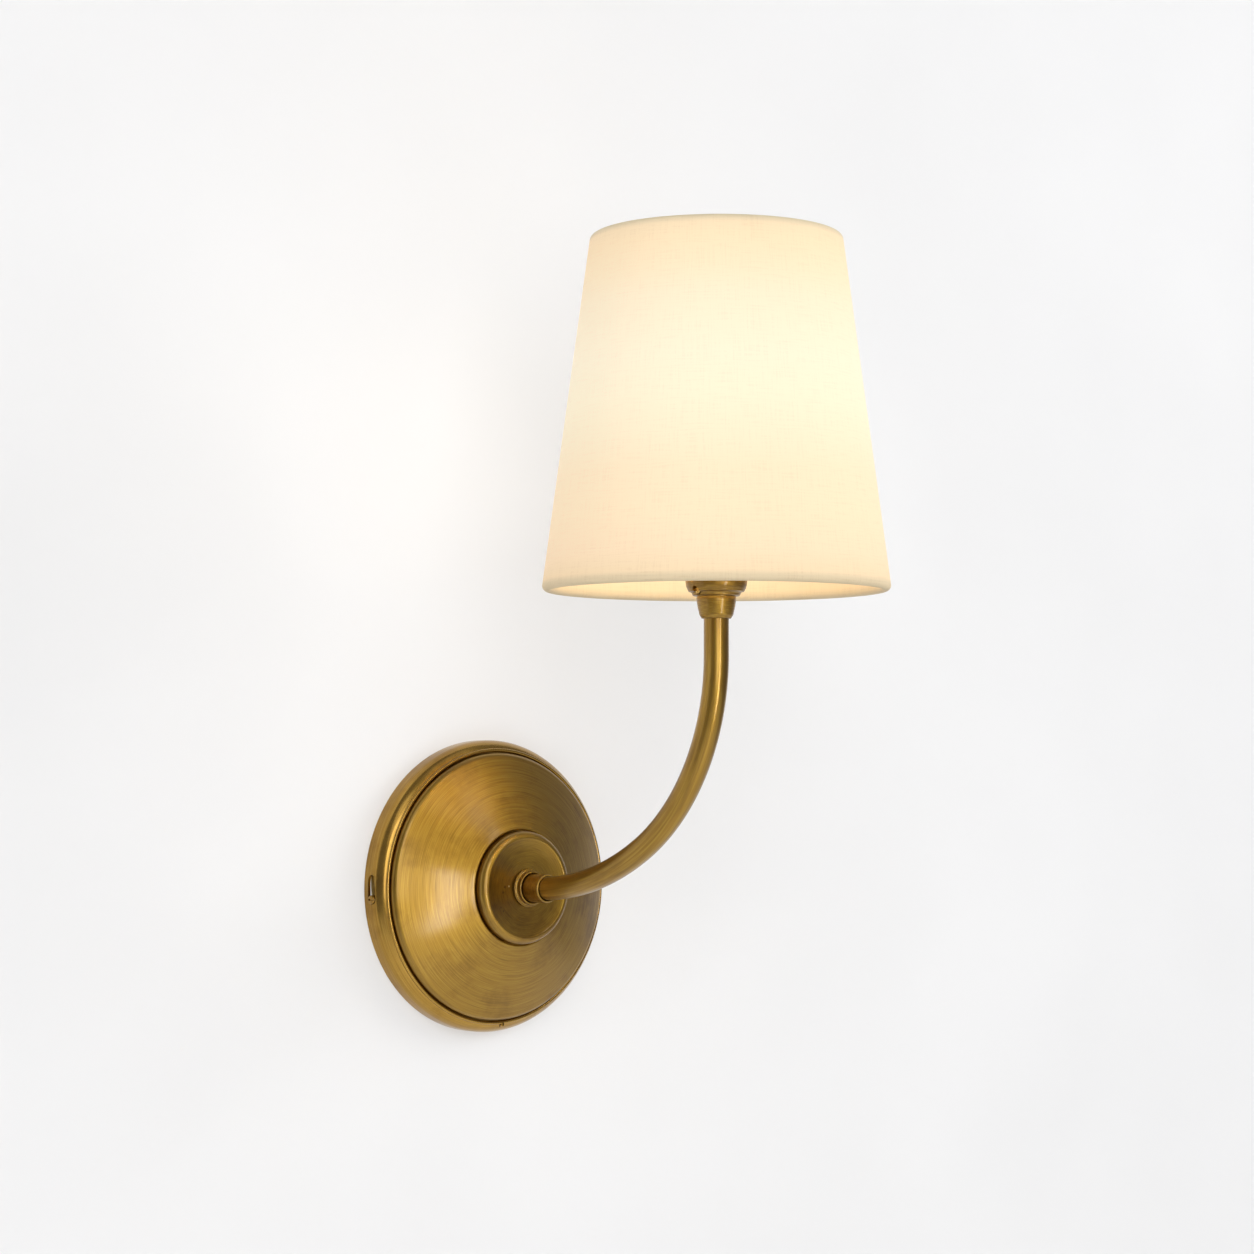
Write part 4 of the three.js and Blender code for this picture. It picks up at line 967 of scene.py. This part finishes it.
# %% Finishes of the small pieces
def worked_finish(name, colours, rough, grain_size, metallic=0.0, relief=0.02, **more):
    """A finish with a fine grain in its colour, its roughness and its relief."""
    material, shader = new_material(name, Metallic=metallic, **more)
    place = add_node(material, "ShaderNodeTexCoord").outputs["Object"]
    noise = stains(material, place, grain_size, 4.0)
    link(material, ramp(material, noise, [(0.35, colours[0]), (0.65, colours[1])]),
         shader, "Base Color")
    share = add_node(
        material, "ShaderNodeMapRange", {0: noise, 1: 0.3, 2: 0.7, 3: rough[0], 4: rough[1]})
    link(material, share.outputs[0], shader, "Roughness")
    bump = add_node(
        material, "ShaderNodeBump", {"Height": noise, "Strength": 0.3, "Distance": relief * MM})
    link(material, bump.outputs[0], shader, "Normal")
    return material


spring_wire = worked_finish(
    "drawn_spring_steel_wire", ("#B0ACA2", "#C4C0B4"), (0.24, 0.32), 1.2, 1.0, relief=0.003)
yellow_zinc = worked_finish(
    "yellow_passivated_zinc", ("#B49A55", "#C9B77A"), (0.28, 0.44), 5, 1.0)
white_zinc = worked_finish("bright_zinc_plate", ("#A9ABA9", "#C6C8C5"), (0.26, 0.42), 3, 1.0)
turned_brass = worked_finish("bare_turned_brass", ("#B8934A", "#D2AE66"), (0.22, 0.34), 0.9, 1.0)
nylon = worked_finish("moulded_white_nylon", ("#E4E0D2", "#EFECE2"), (0.38, 0.5), 2.5)
steatite = worked_finish(
    "glazed_steatite", ("#E9E2D2", "#F3EEE2"), (0.18, 0.3), 4, Coat_Weight=0.5, Coat_Roughness=0.1)
brown_pvc = worked_finish("brown_pvc_sleeve", ("#5F3820", "#744729"), (0.4, 0.52), 1.5)
blue_pvc = worked_finish("blue_pvc_sleeve", ("#2A568F", "#3567AC"), (0.4, 0.52), 1.5)
green_pvc = worked_finish("green_pvc_sleeve", ("#5E8A2C", "#7BA442"), (0.4, 0.52), 1.5)
black_glass = worked_finish("black_glass_insulator", ("#151312", "#24211F"), (0.12, 0.22), 2)
tungsten = worked_finish("coiled_tungsten", ("#B39A6A", "#DCC08A"), (0.35, 0.5), 0.4, 1.0)
frosted, frosted_shader = new_material(
    "frosted_glass_lit", Roughness=0.5, Transmission_Weight=0.3, Emission_Strength=2.2)
frost = stains(frosted, centred(frosted, LAMP_AXIS[0], (0, 0, 0)), 1.2)
link(frosted, ramp(frosted, frost, [(0.3, "#FFF1DA"), (0.7, "#FFF8EA")]),
     frosted_shader, "Base Color")
frosted_shader.inputs["Emission Color"].default_value = linear("#FFF2DC")

# %% [markdown]
# ## Wires of the shade and the leads
#
# Ring wires are turned. The bent wires already run where they should in the packed
# model, with five sides each and four for the filament, so they are copied, merged and
# subdivided. Subdividing pulls a five sided tube in to about three quarters of its
# radius, and it is swollen by that much first.

# %% Wire rings
for node, centre in (("shade_bottom_ring", bottom_roll), ("shade_top_ring", top_roll)):
    wire_ring = turn(node.replace("shade", "wire"), arc(*centre, WIRE, 0, 345, 23), at_lamp)
    dress(wire_ring, spring_wire, node, edge=60)


# %% Bent wires
SWELL = 0.3  # of the wire's radius, made good for what subdividing takes away


def packed_copy(node, name):
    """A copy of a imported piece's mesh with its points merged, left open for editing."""
    bpy.ops.object.select_all(action="DESELECT")
    piece = bpy.data.objects.new(name, frame["nodes"][node].data.copy())
    piece.data.name = name
    bpy.context.scene.collection.objects.link(piece)
    select_only(piece)
    bpy.ops.object.mode_set(mode="EDIT")
    bpy.ops.mesh.select_all(action="SELECT")
    bpy.ops.mesh.remove_doubles(threshold=MERGE_WITHIN)
    return piece


def round_wire(node, name, radius, material):
    """A smooth wire in place of a packed one with few sides."""
    piece = packed_copy(node, name)
    bpy.ops.mesh.tris_convert_to_quads(face_threshold=math.pi, shape_threshold=math.pi)
    bpy.ops.transform.shrink_fatten(value=SWELL * radius * MM)
    bpy.ops.object.mode_set(mode="OBJECT")
    apply_modifier(piece, "SUBSURF", levels=2, render_levels=2)
    dress(piece, material, node, edge=60)


ARM_WIRE = 1.0
CLIP_WIRE = 0.8
LEAD = 1.0
FILAMENT = 0.35
for number in (1, 2, 3):
    round_wire(f"shade_arm_{number}", f"bent_shade_arm_{number}", ARM_WIRE, spring_wire)
for side in ("left", "right"):
    round_wire(f"clip_loop_{side}", f"bent_clip_loop_{side}", CLIP_WIRE, spring_wire)
for lead, colour in (("live", brown_pvc), ("neutral", blue_pvc), ("earth", green_pvc)):
    round_wire(f"{lead}_wire", f"{lead}_lead", LEAD, colour)
round_wire("filament", "filament_coil", FILAMENT, tungsten)

# %% [markdown]
# ## The bulb
#
# A frosted candle bulb stands in the holder. It is mostly hidden, but it is what lights
# the shade from inside, so it shows through the open top and bottom.

# %% Bulb
GLASS = 1.0
NECK_RADIUS = 6.1
TIP_WALL = 1.8
bulb_foot, bulb_top = heights("lamp_glass")
bulb_radius = radius_mm("lamp_glass")
widest = bulb_foot + 41.5
neck_top = bulb_foot + 13
bulb_line = [
    (NECK_RADIUS, bulb_foot), (NECK_RADIUS, neck_top),
    *curve((NECK_RADIUS, neck_top), (7, neck_top + 2), (11, neck_top + 8), 6)[1:],
    *curve((11, neck_top + 8), (bulb_radius, neck_top + 19), (bulb_radius, widest), 10)[1:],
    *curve((bulb_radius, widest), (bulb_radius, widest + 19), (9.6, bulb_top - 15.5), 12)[1:],
    *curve((9.6, bulb_top - 15.5), (4.4, bulb_top - 6.0), (0, bulb_top), 8)[1:],
]
bulb_inner = [(r - GLASS, h) for r, h in bulb_line if r > 2 * GLASS] + [(0, bulb_top - TIP_WALL)]
bulb = turn("blown_bulb", bulb_line[::-1] + bulb_inner, at_lamp)
dress(bulb, frosted, "lamp_glass")

# %% Lamp cap, insulator and stem
THREAD_PITCH = 2.8
THREAD_STEPS = 8


def threaded(radius, rise, low, high):
    """The wavy side of a rolled screw thread, drawn as rings."""
    count = int((high - low) / THREAD_PITCH) * THREAD_STEPS
    return [
        (radius - rise * (0.5 + 0.5 * math.cos(2 * math.pi * i / THREAD_STEPS)),
         low + (high - low) * i / count) for i in range(count + 1)
    ]


base_foot, base_top = heights("lamp_base")
base_radius = radius_mm("lamp_base")
lamp_base = turn("rolled_lamp_base", [
    (NECK_RADIUS + CLEARANCE, base_foot),
    *threaded(base_radius - 0.25, 0.35, base_foot, base_top - 3),
    *arc(base_radius - 0.6, base_top - 1, 0.6, -60, 60, 6), (base_radius - 0.4, base_top),
    (NECK_RADIUS + CLEARANCE, base_top)], at_lamp, turns=64)
dress(lamp_base, white_zinc, "lamp_base")
seat_foot, seat_top = heights("lamp_insulator")
seat_radius = radius_mm("lamp_insulator")
insulator = turn("moulded_glass_insulator", [
    (0, seat_foot), (4.2, seat_foot), (seat_radius, seat_top - 1.9), (seat_radius, seat_top - 1.6),
    (NECK_RADIUS - CLEARANCE, seat_top - 1.6), (NECK_RADIUS - CLEARANCE, seat_top), (0, seat_top),
], at_lamp, turns=64)
dress(insulator, black_glass, "lamp_insulator")
stem_foot, stem_top = heights("filament_stem")
stem_radius = radius_mm("filament_stem")
stem = turn("pressed_filament_stem", [
    (0, stem_foot), (stem_radius, stem_foot),
    *curve((stem_radius, stem_foot + 1), (2.2, stem_foot + 3), (1.7, stem_foot + 9), 6),
    (1.7, stem_top - 4.2), *curve((1.7, stem_top - 4), (1.8, stem_top - 2), (2.4, stem_top - 1), 4),
    (2.2, stem_top), (0, stem_top)], at_lamp, turns=40)
dress(stem, frosted, "filament_stem")

# %% Contacts, socket and core
for node, material in (("lamp_contact", white_zinc), ("centre_contact", turned_brass)):
    low, high = heights(node)
    size = radius_mm(node)
    button = turn(node.replace("contact", "button"), [
        (0, low), (size - 0.1, low), (size, low + 0.15),
        *arc(size - 0.4, high - 0.4, 0.4, 0, 90, 5), (0, high)], at_lamp, turns=48)
    dress(button, material, node)
socket_foot, socket_top = heights("socket_shell")
socket_radius = radius_mm("socket_shell")
SOCKET_WALL = 0.35
SOCKET_HOLE = 4
outer_side = threaded(socket_radius, 0.2, socket_foot + 1, socket_top)
socket = turn("rolled_socket_shell", [
    (SOCKET_HOLE, socket_foot), (socket_radius - 0.8, socket_foot), *outer_side,
    *[(r - SOCKET_WALL, h) for r, h in reversed(outer_side)],
    (socket_radius - 1.1, socket_foot + SOCKET_WALL), (SOCKET_HOLE, socket_foot + SOCKET_WALL),
], at_lamp, turns=64)
dress(socket, turned_brass, "socket_shell")

core_foot, core_top = heights("lampholder_core")
core_outer = radius_mm("lampholder_core")
core_floor = socket_foot - CLEARANCE
cavity = socket_radius + CLEARANCE
skirt_top = cap_height + CLEARANCE
TERMINAL_PLACE = 5
TERMINAL_RISE = 2.1
TERMINAL_HOLE = 1.6
WIRE_WAY = 1.7
core = turn("glazed_holder_core", eased([
    (0, core_foot), (core_outer - 2.4, core_foot), (core_outer - 2.4, CAP_FLOOR + CLEARANCE),
    (core_outer, CAP_FLOOR + CLEARANCE), (core_outer, skirt_top),
    (core_outer - 0.4, skirt_top + 0.4), (core_outer - 0.4, core_top),
    (cavity, core_top), (cavity, core_floor), (0, core_floor),
]), at_lamp, turns=72)
for hand in (-1, 1):
    place = hand * TERMINAL_PLACE
    wire_way = rod(WIRE_WAY, 9.2, (place, -REACH, FOOT + core_foot - 1), "Z", turns=24)
    hole_place = (place + 6 * hand, -REACH, FOOT + core_foot + TERMINAL_RISE)
    carve(core, wire_way, rod(TERMINAL_HOLE, 12, hole_place, "X", turns=24))
dress(core, steatite, "lampholder_core")

# %% Clip hub
clip_foot, clip_top = heights("clip_hub")
clip_hub = turn(
    "clip_hub_disc", eased(band(3.2, radius_mm("clip_hub"), clip_foot, clip_top)), at_lamp)
dress(clip_hub, spring_wire, "clip_hub")

# %% [markdown]
# ## Fasteners behind the plate
#
# Nobody sees these with the lamp on the wall, but whoever mounts it does. A washer, an
# earth tag, a toothed lock washer and a hexagon nut clamp the arm to the dish, and a
# nylon bush keeps the wires off the tube's sharp end.

# %% Washer, bush and nut
washer_back, washer_front = depths("hub_washer")
washer = turn("punched_hub_washer", eased(band(
    TUBE_HOLE, radius_mm("hub_washer"), washer_back, washer_front)))
dress(washer, yellow_zinc, "hub_washer")
BUSH_BORE = 2.75
BUSH_SLEEVE = 3.35
BUSH_FLANGE = 1.0
flange_back, bush_end = depths("wire_bushing")
flange_radius = radius_mm("wire_bushing")
bush = turn("moulded_wire_bush", eased([
    (BUSH_BORE, flange_back), (flange_radius, flange_back),
    (flange_radius, flange_back + BUSH_FLANGE), (BUSH_SLEEVE, flange_back + BUSH_FLANGE),
    (BUSH_SLEEVE, bush_end), (BUSH_BORE, bush_end)]), turns=64)
dress(bush, nylon, "wire_bushing")


def flat_copy(node, name, bore, material, ease=0.2):
    """A packed flat piece with a round hole, a clean outline and eased edges."""
    piece = packed_copy(node, name)
    bpy.ops.mesh.dissolve_limited(angle_limit=math.radians(1))
    bpy.ops.object.mode_set(mode="OBJECT")
    back, front = depths(node)
    middle = (0, -(back + front) / 2, 0)
    carve(piece, rod(bore, front - back + 2, middle, "Y"))
    apply_modifier(piece, "BEVEL", width=ease * MM, segments=2, limit_method="ANGLE")
    dress(piece, material, node)


flat_copy("hub_nut", "milled_hub_nut", TUBE_HOLE, turned_brass)
flat_copy("lock_washer", "toothed_lock_washer", TUBE_HOLE, spring_wire, ease=0.1)

# %% Earth tag
TAG_RING = 8.4
TAG_WIDTH = 3.6
TAG_REACH = 13.6
TAG_THICKNESS = 0.8
BARREL = 1.6
BARREL_LENGTH = 4
tag_front = depths("earth_tag")[1]
tag_back = tag_front - TAG_THICKNESS
tag_middle = -(tag_front + tag_back) / 2
tag = rod(TAG_RING, TAG_THICKNESS, (0, tag_middle, 0), "Y", turns=96)
tab = bar((TAG_WIDTH, TAG_THICKNESS, TAG_REACH - TAG_RING / 2),
          (0, tag_middle, -(TAG_REACH + TAG_RING / 2) / 2))
barrel = rod(BARREL, BARREL_LENGTH + TAG_THICKNESS / 2,
             (0, tag_middle + BARREL_LENGTH / 2, -TAG_REACH), "Y")
carve(tag, tab, barrel, operation="UNION")
carve(tag, rod(TUBE_HOLE, 4, (0, tag_middle, 0), "Y"))
apply_modifier(tag, "BEVEL", width=0.12 * MM, segments=2, limit_method="ANGLE")
tag.name = tag.data.name = "crimped_earth_tag"
dress(tag, turned_brass, "earth_tag")

# %% [markdown]
# ## Slotted screws
#
# Every screw is turned and then slotted, so they share one function. A headed screw has
# a rounded edge to its head. A grub screw or a terminal screw is only a slotted pin.

# %% Screws
def slotted_screw(node, centre, along, out, head, shank, material, roll=0.0):
    """A screw along X or Y, its head's seat at the centre, out = 1 or -1 towards the head.

    head is (radius, height, slot width, slot depth), shank is (radius, length), and roll
    is how far it goes round the hub's axis, in radians, once it is made.
    """
    radius, height, slot_width, slot_depth = head
    shank_radius, shank_length = shank
    way = Vector([out if letter == along else 0 for letter in "XYZ"])
    seat = Vector(centre)
    screw = rod(radius, height, seat + way * height / 2, along)
    apply_modifier(
        screw, "BEVEL", width=min(0.3 * height, 0.35) * MM, segments=4, limit_method="ANGLE")
    if shank_length:
        overlap = height / 2
        middle = seat + way * (overlap - shank_length) / 2
        carve(screw, rod(shank_radius, shank_length + overlap, middle, along), operation="UNION")
    across = [2.4 * radius] * 3
    across["XYZ".index(along)] = 2 * slot_depth
    across[2] = slot_width
    carve(screw, bar(across, seat + way * height))
    screw.rotation_euler.y = roll
    screw.name = screw.data.name = f"slotted_{node}"
    dress(screw, material, node)


def middle_of(node):
    """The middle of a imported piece's box, in millimetres."""
    low, high = box_mm(node)
    return (low + high) / 2


SMALL_SLOT = (0.5, 0.5)
NO_SHANK = (0, 0)
for number in range(1, 7):
    node = f"terminal_screw_{number}"
    back, front = depths(node)
    place = middle_of(node)
    slotted_screw(node, (place.x, -front, place.z), "Y", 1,
                  (1.5, front - back, *SMALL_SLOT), NO_SHANK, turned_brass)
for node, hand in (("core_screw_live", -1), ("core_screw_neutral", 1), ("cap_grub_screw", -1)):
    low, high = box_mm(node)
    place, size = middle_of(node), high - low
    slotted_screw(node, (place.x - hand * size.x / 2, place.y, place.z), "X", hand,
                  (size.z / 2, size.x, *SMALL_SLOT), NO_SHANK, turned_brass)

# %% [markdown]
# ## The bracket and its screws
#
# The bracket is a strap of plated steel with two ears. It is set a few degrees round, at
# one end of the ring's levelling slots, so it is built level and turned at the end,
# together with its screws.

# %% Bracket
STRAP = 2
STRAP_HEIGHT = 22
EAR_HEIGHT = 20
EAR_FACE = ring_inner - 1.3
EAR_DEPTH = ledge_back - 2 * CLEARANCE
EAR_NECK = 14
EAR_TAPER = 4
BEND_INSIDE = 1
WALL_SLOT = (14, 5)  # length and width
WALL_SLOT_PLACE = 30
SCREW_PLACE = 14
SIDE_SHANK = 1.4
EARTH_SHANK = 1.7


def prism(name, outline, travel):
    """A closed outline of points in metres, filled and drawn out by a travel in metres."""
    piece = start_piece(name)
    draw(outline + outline[:1])
    bpy.ops.mesh.select_all(action="SELECT")
    bpy.ops.mesh.remove_doubles(threshold=MERGE_WITHIN)
    bpy.ops.mesh.select_all(action="SELECT")
    bpy.ops.mesh.edge_face_add()
    bpy.ops.mesh.extrude_region_move(TRANSFORM_OT_translate={"value": travel})
    close_mesh()
    return piece


outside = BEND_INSIDE + STRAP
half = [
    *arc(EAR_FACE - outside, outside, outside, -90, 0, 8), (EAR_FACE, EAR_DEPTH),
    (EAR_FACE - STRAP, EAR_DEPTH), *arc(EAR_FACE - outside, outside, BEND_INSIDE, 0, -90, 6),
]
section = half + [(-x, y) for x, y in reversed(half)]
bracket = prism(
    "bent_wall_bracket", [Vector((x, -y, -STRAP_HEIGHT / 2)) * MM for x, y in section],
    (0, 0, STRAP_HEIGHT * MM))
beyond, shoulder_place = EAR_FACE + 1, EAR_FACE - EAR_NECK
quarter = [
    (beyond, EAR_HEIGHT / 2), (shoulder_place + EAR_TAPER, EAR_HEIGHT / 2),
    (shoulder_place, STRAP_HEIGHT / 2 + 0.01),
]
top_side = quarter + [(-x, z) for x, z in reversed(quarter)]
front_view = top_side + [(x, -z) for x, z in reversed(top_side)]
blank = prism(
    "bracket_outline", [Vector((x, 1, z)) * MM for x, z in front_view],
    (0, -(EAR_DEPTH + 2) * MM, 0))
carve(bracket, blank, operation="INTERSECT")
carve(bracket,
      *[slotted_bar(*WALL_SLOT, 6, (hand * WALL_SLOT_PLACE, -1, 0), "Y") for hand in (-1, 1)],
      rod(SIDE_SHANK + CLEARANCE, 2 * beyond, (0, -SLOT_DEPTH, 0), "X"),
      rod(EARTH_SHANK + CLEARANCE, 6, (SCREW_PLACE, -1, 0), "Y"))
apply_modifier(bracket, "BEVEL", width=0.25 * MM, segments=2, limit_method="ANGLE")
side_place = middle_of("side_screw_right")
bracket_turn = -math.atan2(side_place.z, side_place.x)
bracket.rotation_euler.y = bracket_turn
dress(bracket, yellow_zinc, "wall_bracket")

# %% Bracket screws
side_head = PLATE_RADIUS + 0.5 - EAR_FACE - CLEARANCE
for side, hand in (("left", -1), ("right", 1)):
    slotted_screw(f"side_screw_{side}", (hand * (EAR_FACE + CLEARANCE), -SLOT_DEPTH, 0), "X", hand,
                  (1.9, side_head, 0.75, 1.0), (SIDE_SHANK, 2 * STRAP + CLEARANCE),
                  ring_brass, bracket_turn)
slotted_screw("bracket_earth_screw", (SCREW_PLACE, -STRAP - CLEARANCE, 0), "Y", -1,
              (3.6, 2.2, 1.2, 0.9), (EARTH_SHANK, STRAP), turned_brass, bracket_turn)

# %% [markdown]
# ## The terminal block
#
# Three rounded lobes of white nylon on a base, with a bore for each wire from below and
# above and two screw wells for each way in the back.

# %% Terminal block
BLOCK_BASE = 6.75
LOBE = 4.25
WAY_BORE = 1.5
WELL = 1.8
WELL_INSET = 4  # from the block's end to the middle of a well
block_low, block_high = box_mm("terminal_block")
block_size = block_high - block_low
block_middle = (block_low + block_high) / 2
ways = (-2 * LOBE, 0, 2 * LOBE)
block = bar((block_size.x, BLOCK_BASE, block_size.z),
            (block_middle.x, block_high.y - BLOCK_BASE / 2, block_middle.z))
carve(block, *[
    rod(LOBE, block_size.z, (way, block_low.y + LOBE, block_middle.z)) for way in ways
], operation="UNION")
apply_modifier(block, "BEVEL", width=0.3 * MM, segments=3, limit_method="ANGLE", angle_limit=0.9)
bore_depth = block_middle.y
well_length = block_high.y - bore_depth - 1 - CLEARANCE
carve(block, *[rod(WAY_BORE, block_size.z + 2, (way, bore_depth, block_middle.z)) for way in ways])
carve(block, *[
    rod(WELL, well_length + 1, (way, block_high.y - (well_length - 1) / 2, row), "Y", turns=32)
    for way in ways for row in (block_high.z - WELL_INSET, block_low.z + WELL_INSET)
])
block.name = block.data.name = "moulded_terminal_block"
dress(block, nylon, "terminal_block")

# %% [markdown]
# ## The room
#
# A white wall carries the lamp and a pale floor lies well below it. Both glow a little
# to the camera and in the brass, and that glow lights nothing else, so the wall's
# shadows stay soft and the metal still has something pale to reflect. Neither casts a
# shadow. From behind, the wall is clear, which lets the camera look at the lamp's back.

# %% Wall and floor
def room_surface(name, glow, paint):
    """A pale surface, partly lit by the lamps and partly bright by itself where it is seen."""
    material, shader = new_material(name, Roughness=0.9, Specular_IOR_Level=0.0)
    streaks = stains(material, add_node(material, "ShaderNodeTexCoord").outputs["Object"], 220, 2.0)
    link(material, ramp(material, streaks, [(0.3, paint[0]), (0.7, paint[1])]),
         shader, "Base Color")
    shader.inputs["Emission Color"].default_value = linear("#FFFFFF")
    path = add_node(material, "ShaderNodeLightPath").outputs
    seen = path["Is Camera Ray"]
    for ray in ("Is Glossy Ray", "Is Transmission Ray"):
        seen = maths(material, "MAXIMUM", seen, path[ray])
    link(material, maths(material, "MULTIPLY", seen, glow), shader, "Emission Strength")
    clear = add_node(material, "ShaderNodeBsdfTransparent").outputs[0]
    back = add_node(material, "ShaderNodeNewGeometry").outputs["Backfacing"]
    hidden = maths(material, "MAXIMUM", back, path["Is Shadow Ray"])
    either = add_node(
        material, "ShaderNodeMixShader", {0: hidden, 1: shader.outputs[0], 2: clear})
    surface = material.node_tree.nodes["Material Output"].inputs["Surface"]
    material.node_tree.links.new(either.outputs[0], surface)
    return material


def staged_plane(name, size, location, rotation, material):
    """A large flat piece of the room."""
    bpy.ops.object.select_all(action="DESELECT")
    bpy.ops.mesh.primitive_plane_add(size=size, location=location, rotation=rotation)
    plane = bpy.context.object
    plane.name = plane.data.name = name
    plane.data.materials.append(material)


ROOM_SIZE = 6
FLOOR_PLACE = (0, -2.98, -1.1)
WALL_GLOW = 0.11
FLOOR_GLOW = 0.34
wall_paint = room_surface("matt_white_wall_paint", WALL_GLOW, ("#DCDCDD", "#E0E0E1"))
staged_plane("wall", ROOM_SIZE, (0, 0, 0), (math.pi / 2, 0, 0), wall_paint)
floor_paint = room_surface("pale_floor_paint", FLOOR_GLOW, ("#D4D3D1", "#DADAD8"))
staged_plane("floor", ROOM_SIZE, FLOOR_PLACE, (0, 0, 0), floor_paint)

# %% [markdown]
# ## The lights
#
# A tall soft box at the front left is the key, and others fill from the sides, above
# and below. The left and right ones are unseen in the brass, so they brighten the scene
# without drawing bands of their own. The two glint lamps draw the brass's bright bands
# and cast no shadow, because a small lamp puts a hard outline of the shade on the wall.

# %% Lights
def softbox(name, location, aim, size, power, seen=True, shadow=True):
    """A lamp of width by height in metres. It can be unseen in the brass, or cast no shadow."""
    bpy.ops.object.select_all(action="DESELECT")
    bpy.ops.object.light_add(type="AREA", location=location)
    light = bpy.context.object
    light.name = light.data.name = name
    light.data.shape = "RECTANGLE"
    light.data.size, light.data.size_y = size
    light.data.energy = power
    light.visible_glossy = seen
    light.data.use_shadow = shadow
    light.rotation_euler = (Vector(aim) - Vector(location)).to_track_quat("-Z", "Y").to_euler()


AIM_AT = Vector((0, -0.03, 0))


def from_plate(azimuth, elevation, distance):
    """A place seen from the plate: azimuth to its right, elevation above it, in degrees."""
    turned, raised = math.radians(azimuth), math.radians(elevation)
    level = math.cos(raised)
    way = Vector((math.sin(turned) * level, -math.cos(turned) * level, math.sin(raised)))
    return AIM_AT + distance * way


softbox("key_softbox", from_plate(-27, 13, 2.2), AIM_AT, (1.0, 1.6), 13)
softbox("low_front_glint", from_plate(-6, -7, 2.2), AIM_AT, (0.25, 1.1), 10, shadow=False)
softbox("high_front_glint", from_plate(18, 32, 2.2), AIM_AT, (0.5, 0.3), 4, shadow=False)
softbox("overhead_softbox", from_plate(20, 62, 2.2), AIM_AT, (1.2, 1.2), 2)
softbox("camera_side_softbox", from_plate(-38, 40, 2.2), AIM_AT, (1.0, 1.0), 3)
softbox("right_softbox", from_plate(66, 18, 2.4), AIM_AT, (1.2, 1.2), 24, seen=False)
softbox("low_softbox", from_plate(-20, -50, 2.0), AIM_AT, (1.0, 1.0), 1.5)
softbox("left_softbox", from_plate(-80, 5, 2.0), AIM_AT, (0.9, 0.9), 8, seen=False)
WORLD_LIGHT = 0.28
world = bpy.data.worlds.new("pale_room")
bpy.context.scene.world = world
world.use_nodes = True
background = world.node_tree.nodes["Background"].inputs
background["Color"].default_value = linear("#FFFFFF")
background["Strength"].default_value = WORLD_LIGHT

# %% [markdown]
# ## The camera
#
# The camera stands to the left, about 1.3 metres away and level, so upright lines stay
# upright. The lens is moved up a touch, as on a view camera, to frame the shade.

# %% Camera
CAMERA_PLACE = (-0.80706, -1.01060, 0.04962)
CAMERA_HEADING = math.radians(-41.43)
SENSOR_WIDTH = 36
FOCAL_LENGTH = 84.855
LENS_RISE = 0.11575
bpy.ops.object.camera_add(location=CAMERA_PLACE, rotation=(math.pi / 2, 0, CAMERA_HEADING))
camera = bpy.context.object
camera.data.sensor_width = SENSOR_WIDTH
camera.data.lens = FOCAL_LENGTH
camera.data.shift_y = LENS_RISE
bpy.context.scene.camera = camera
bpy.context.scene.view_settings.view_transform = "Standard"
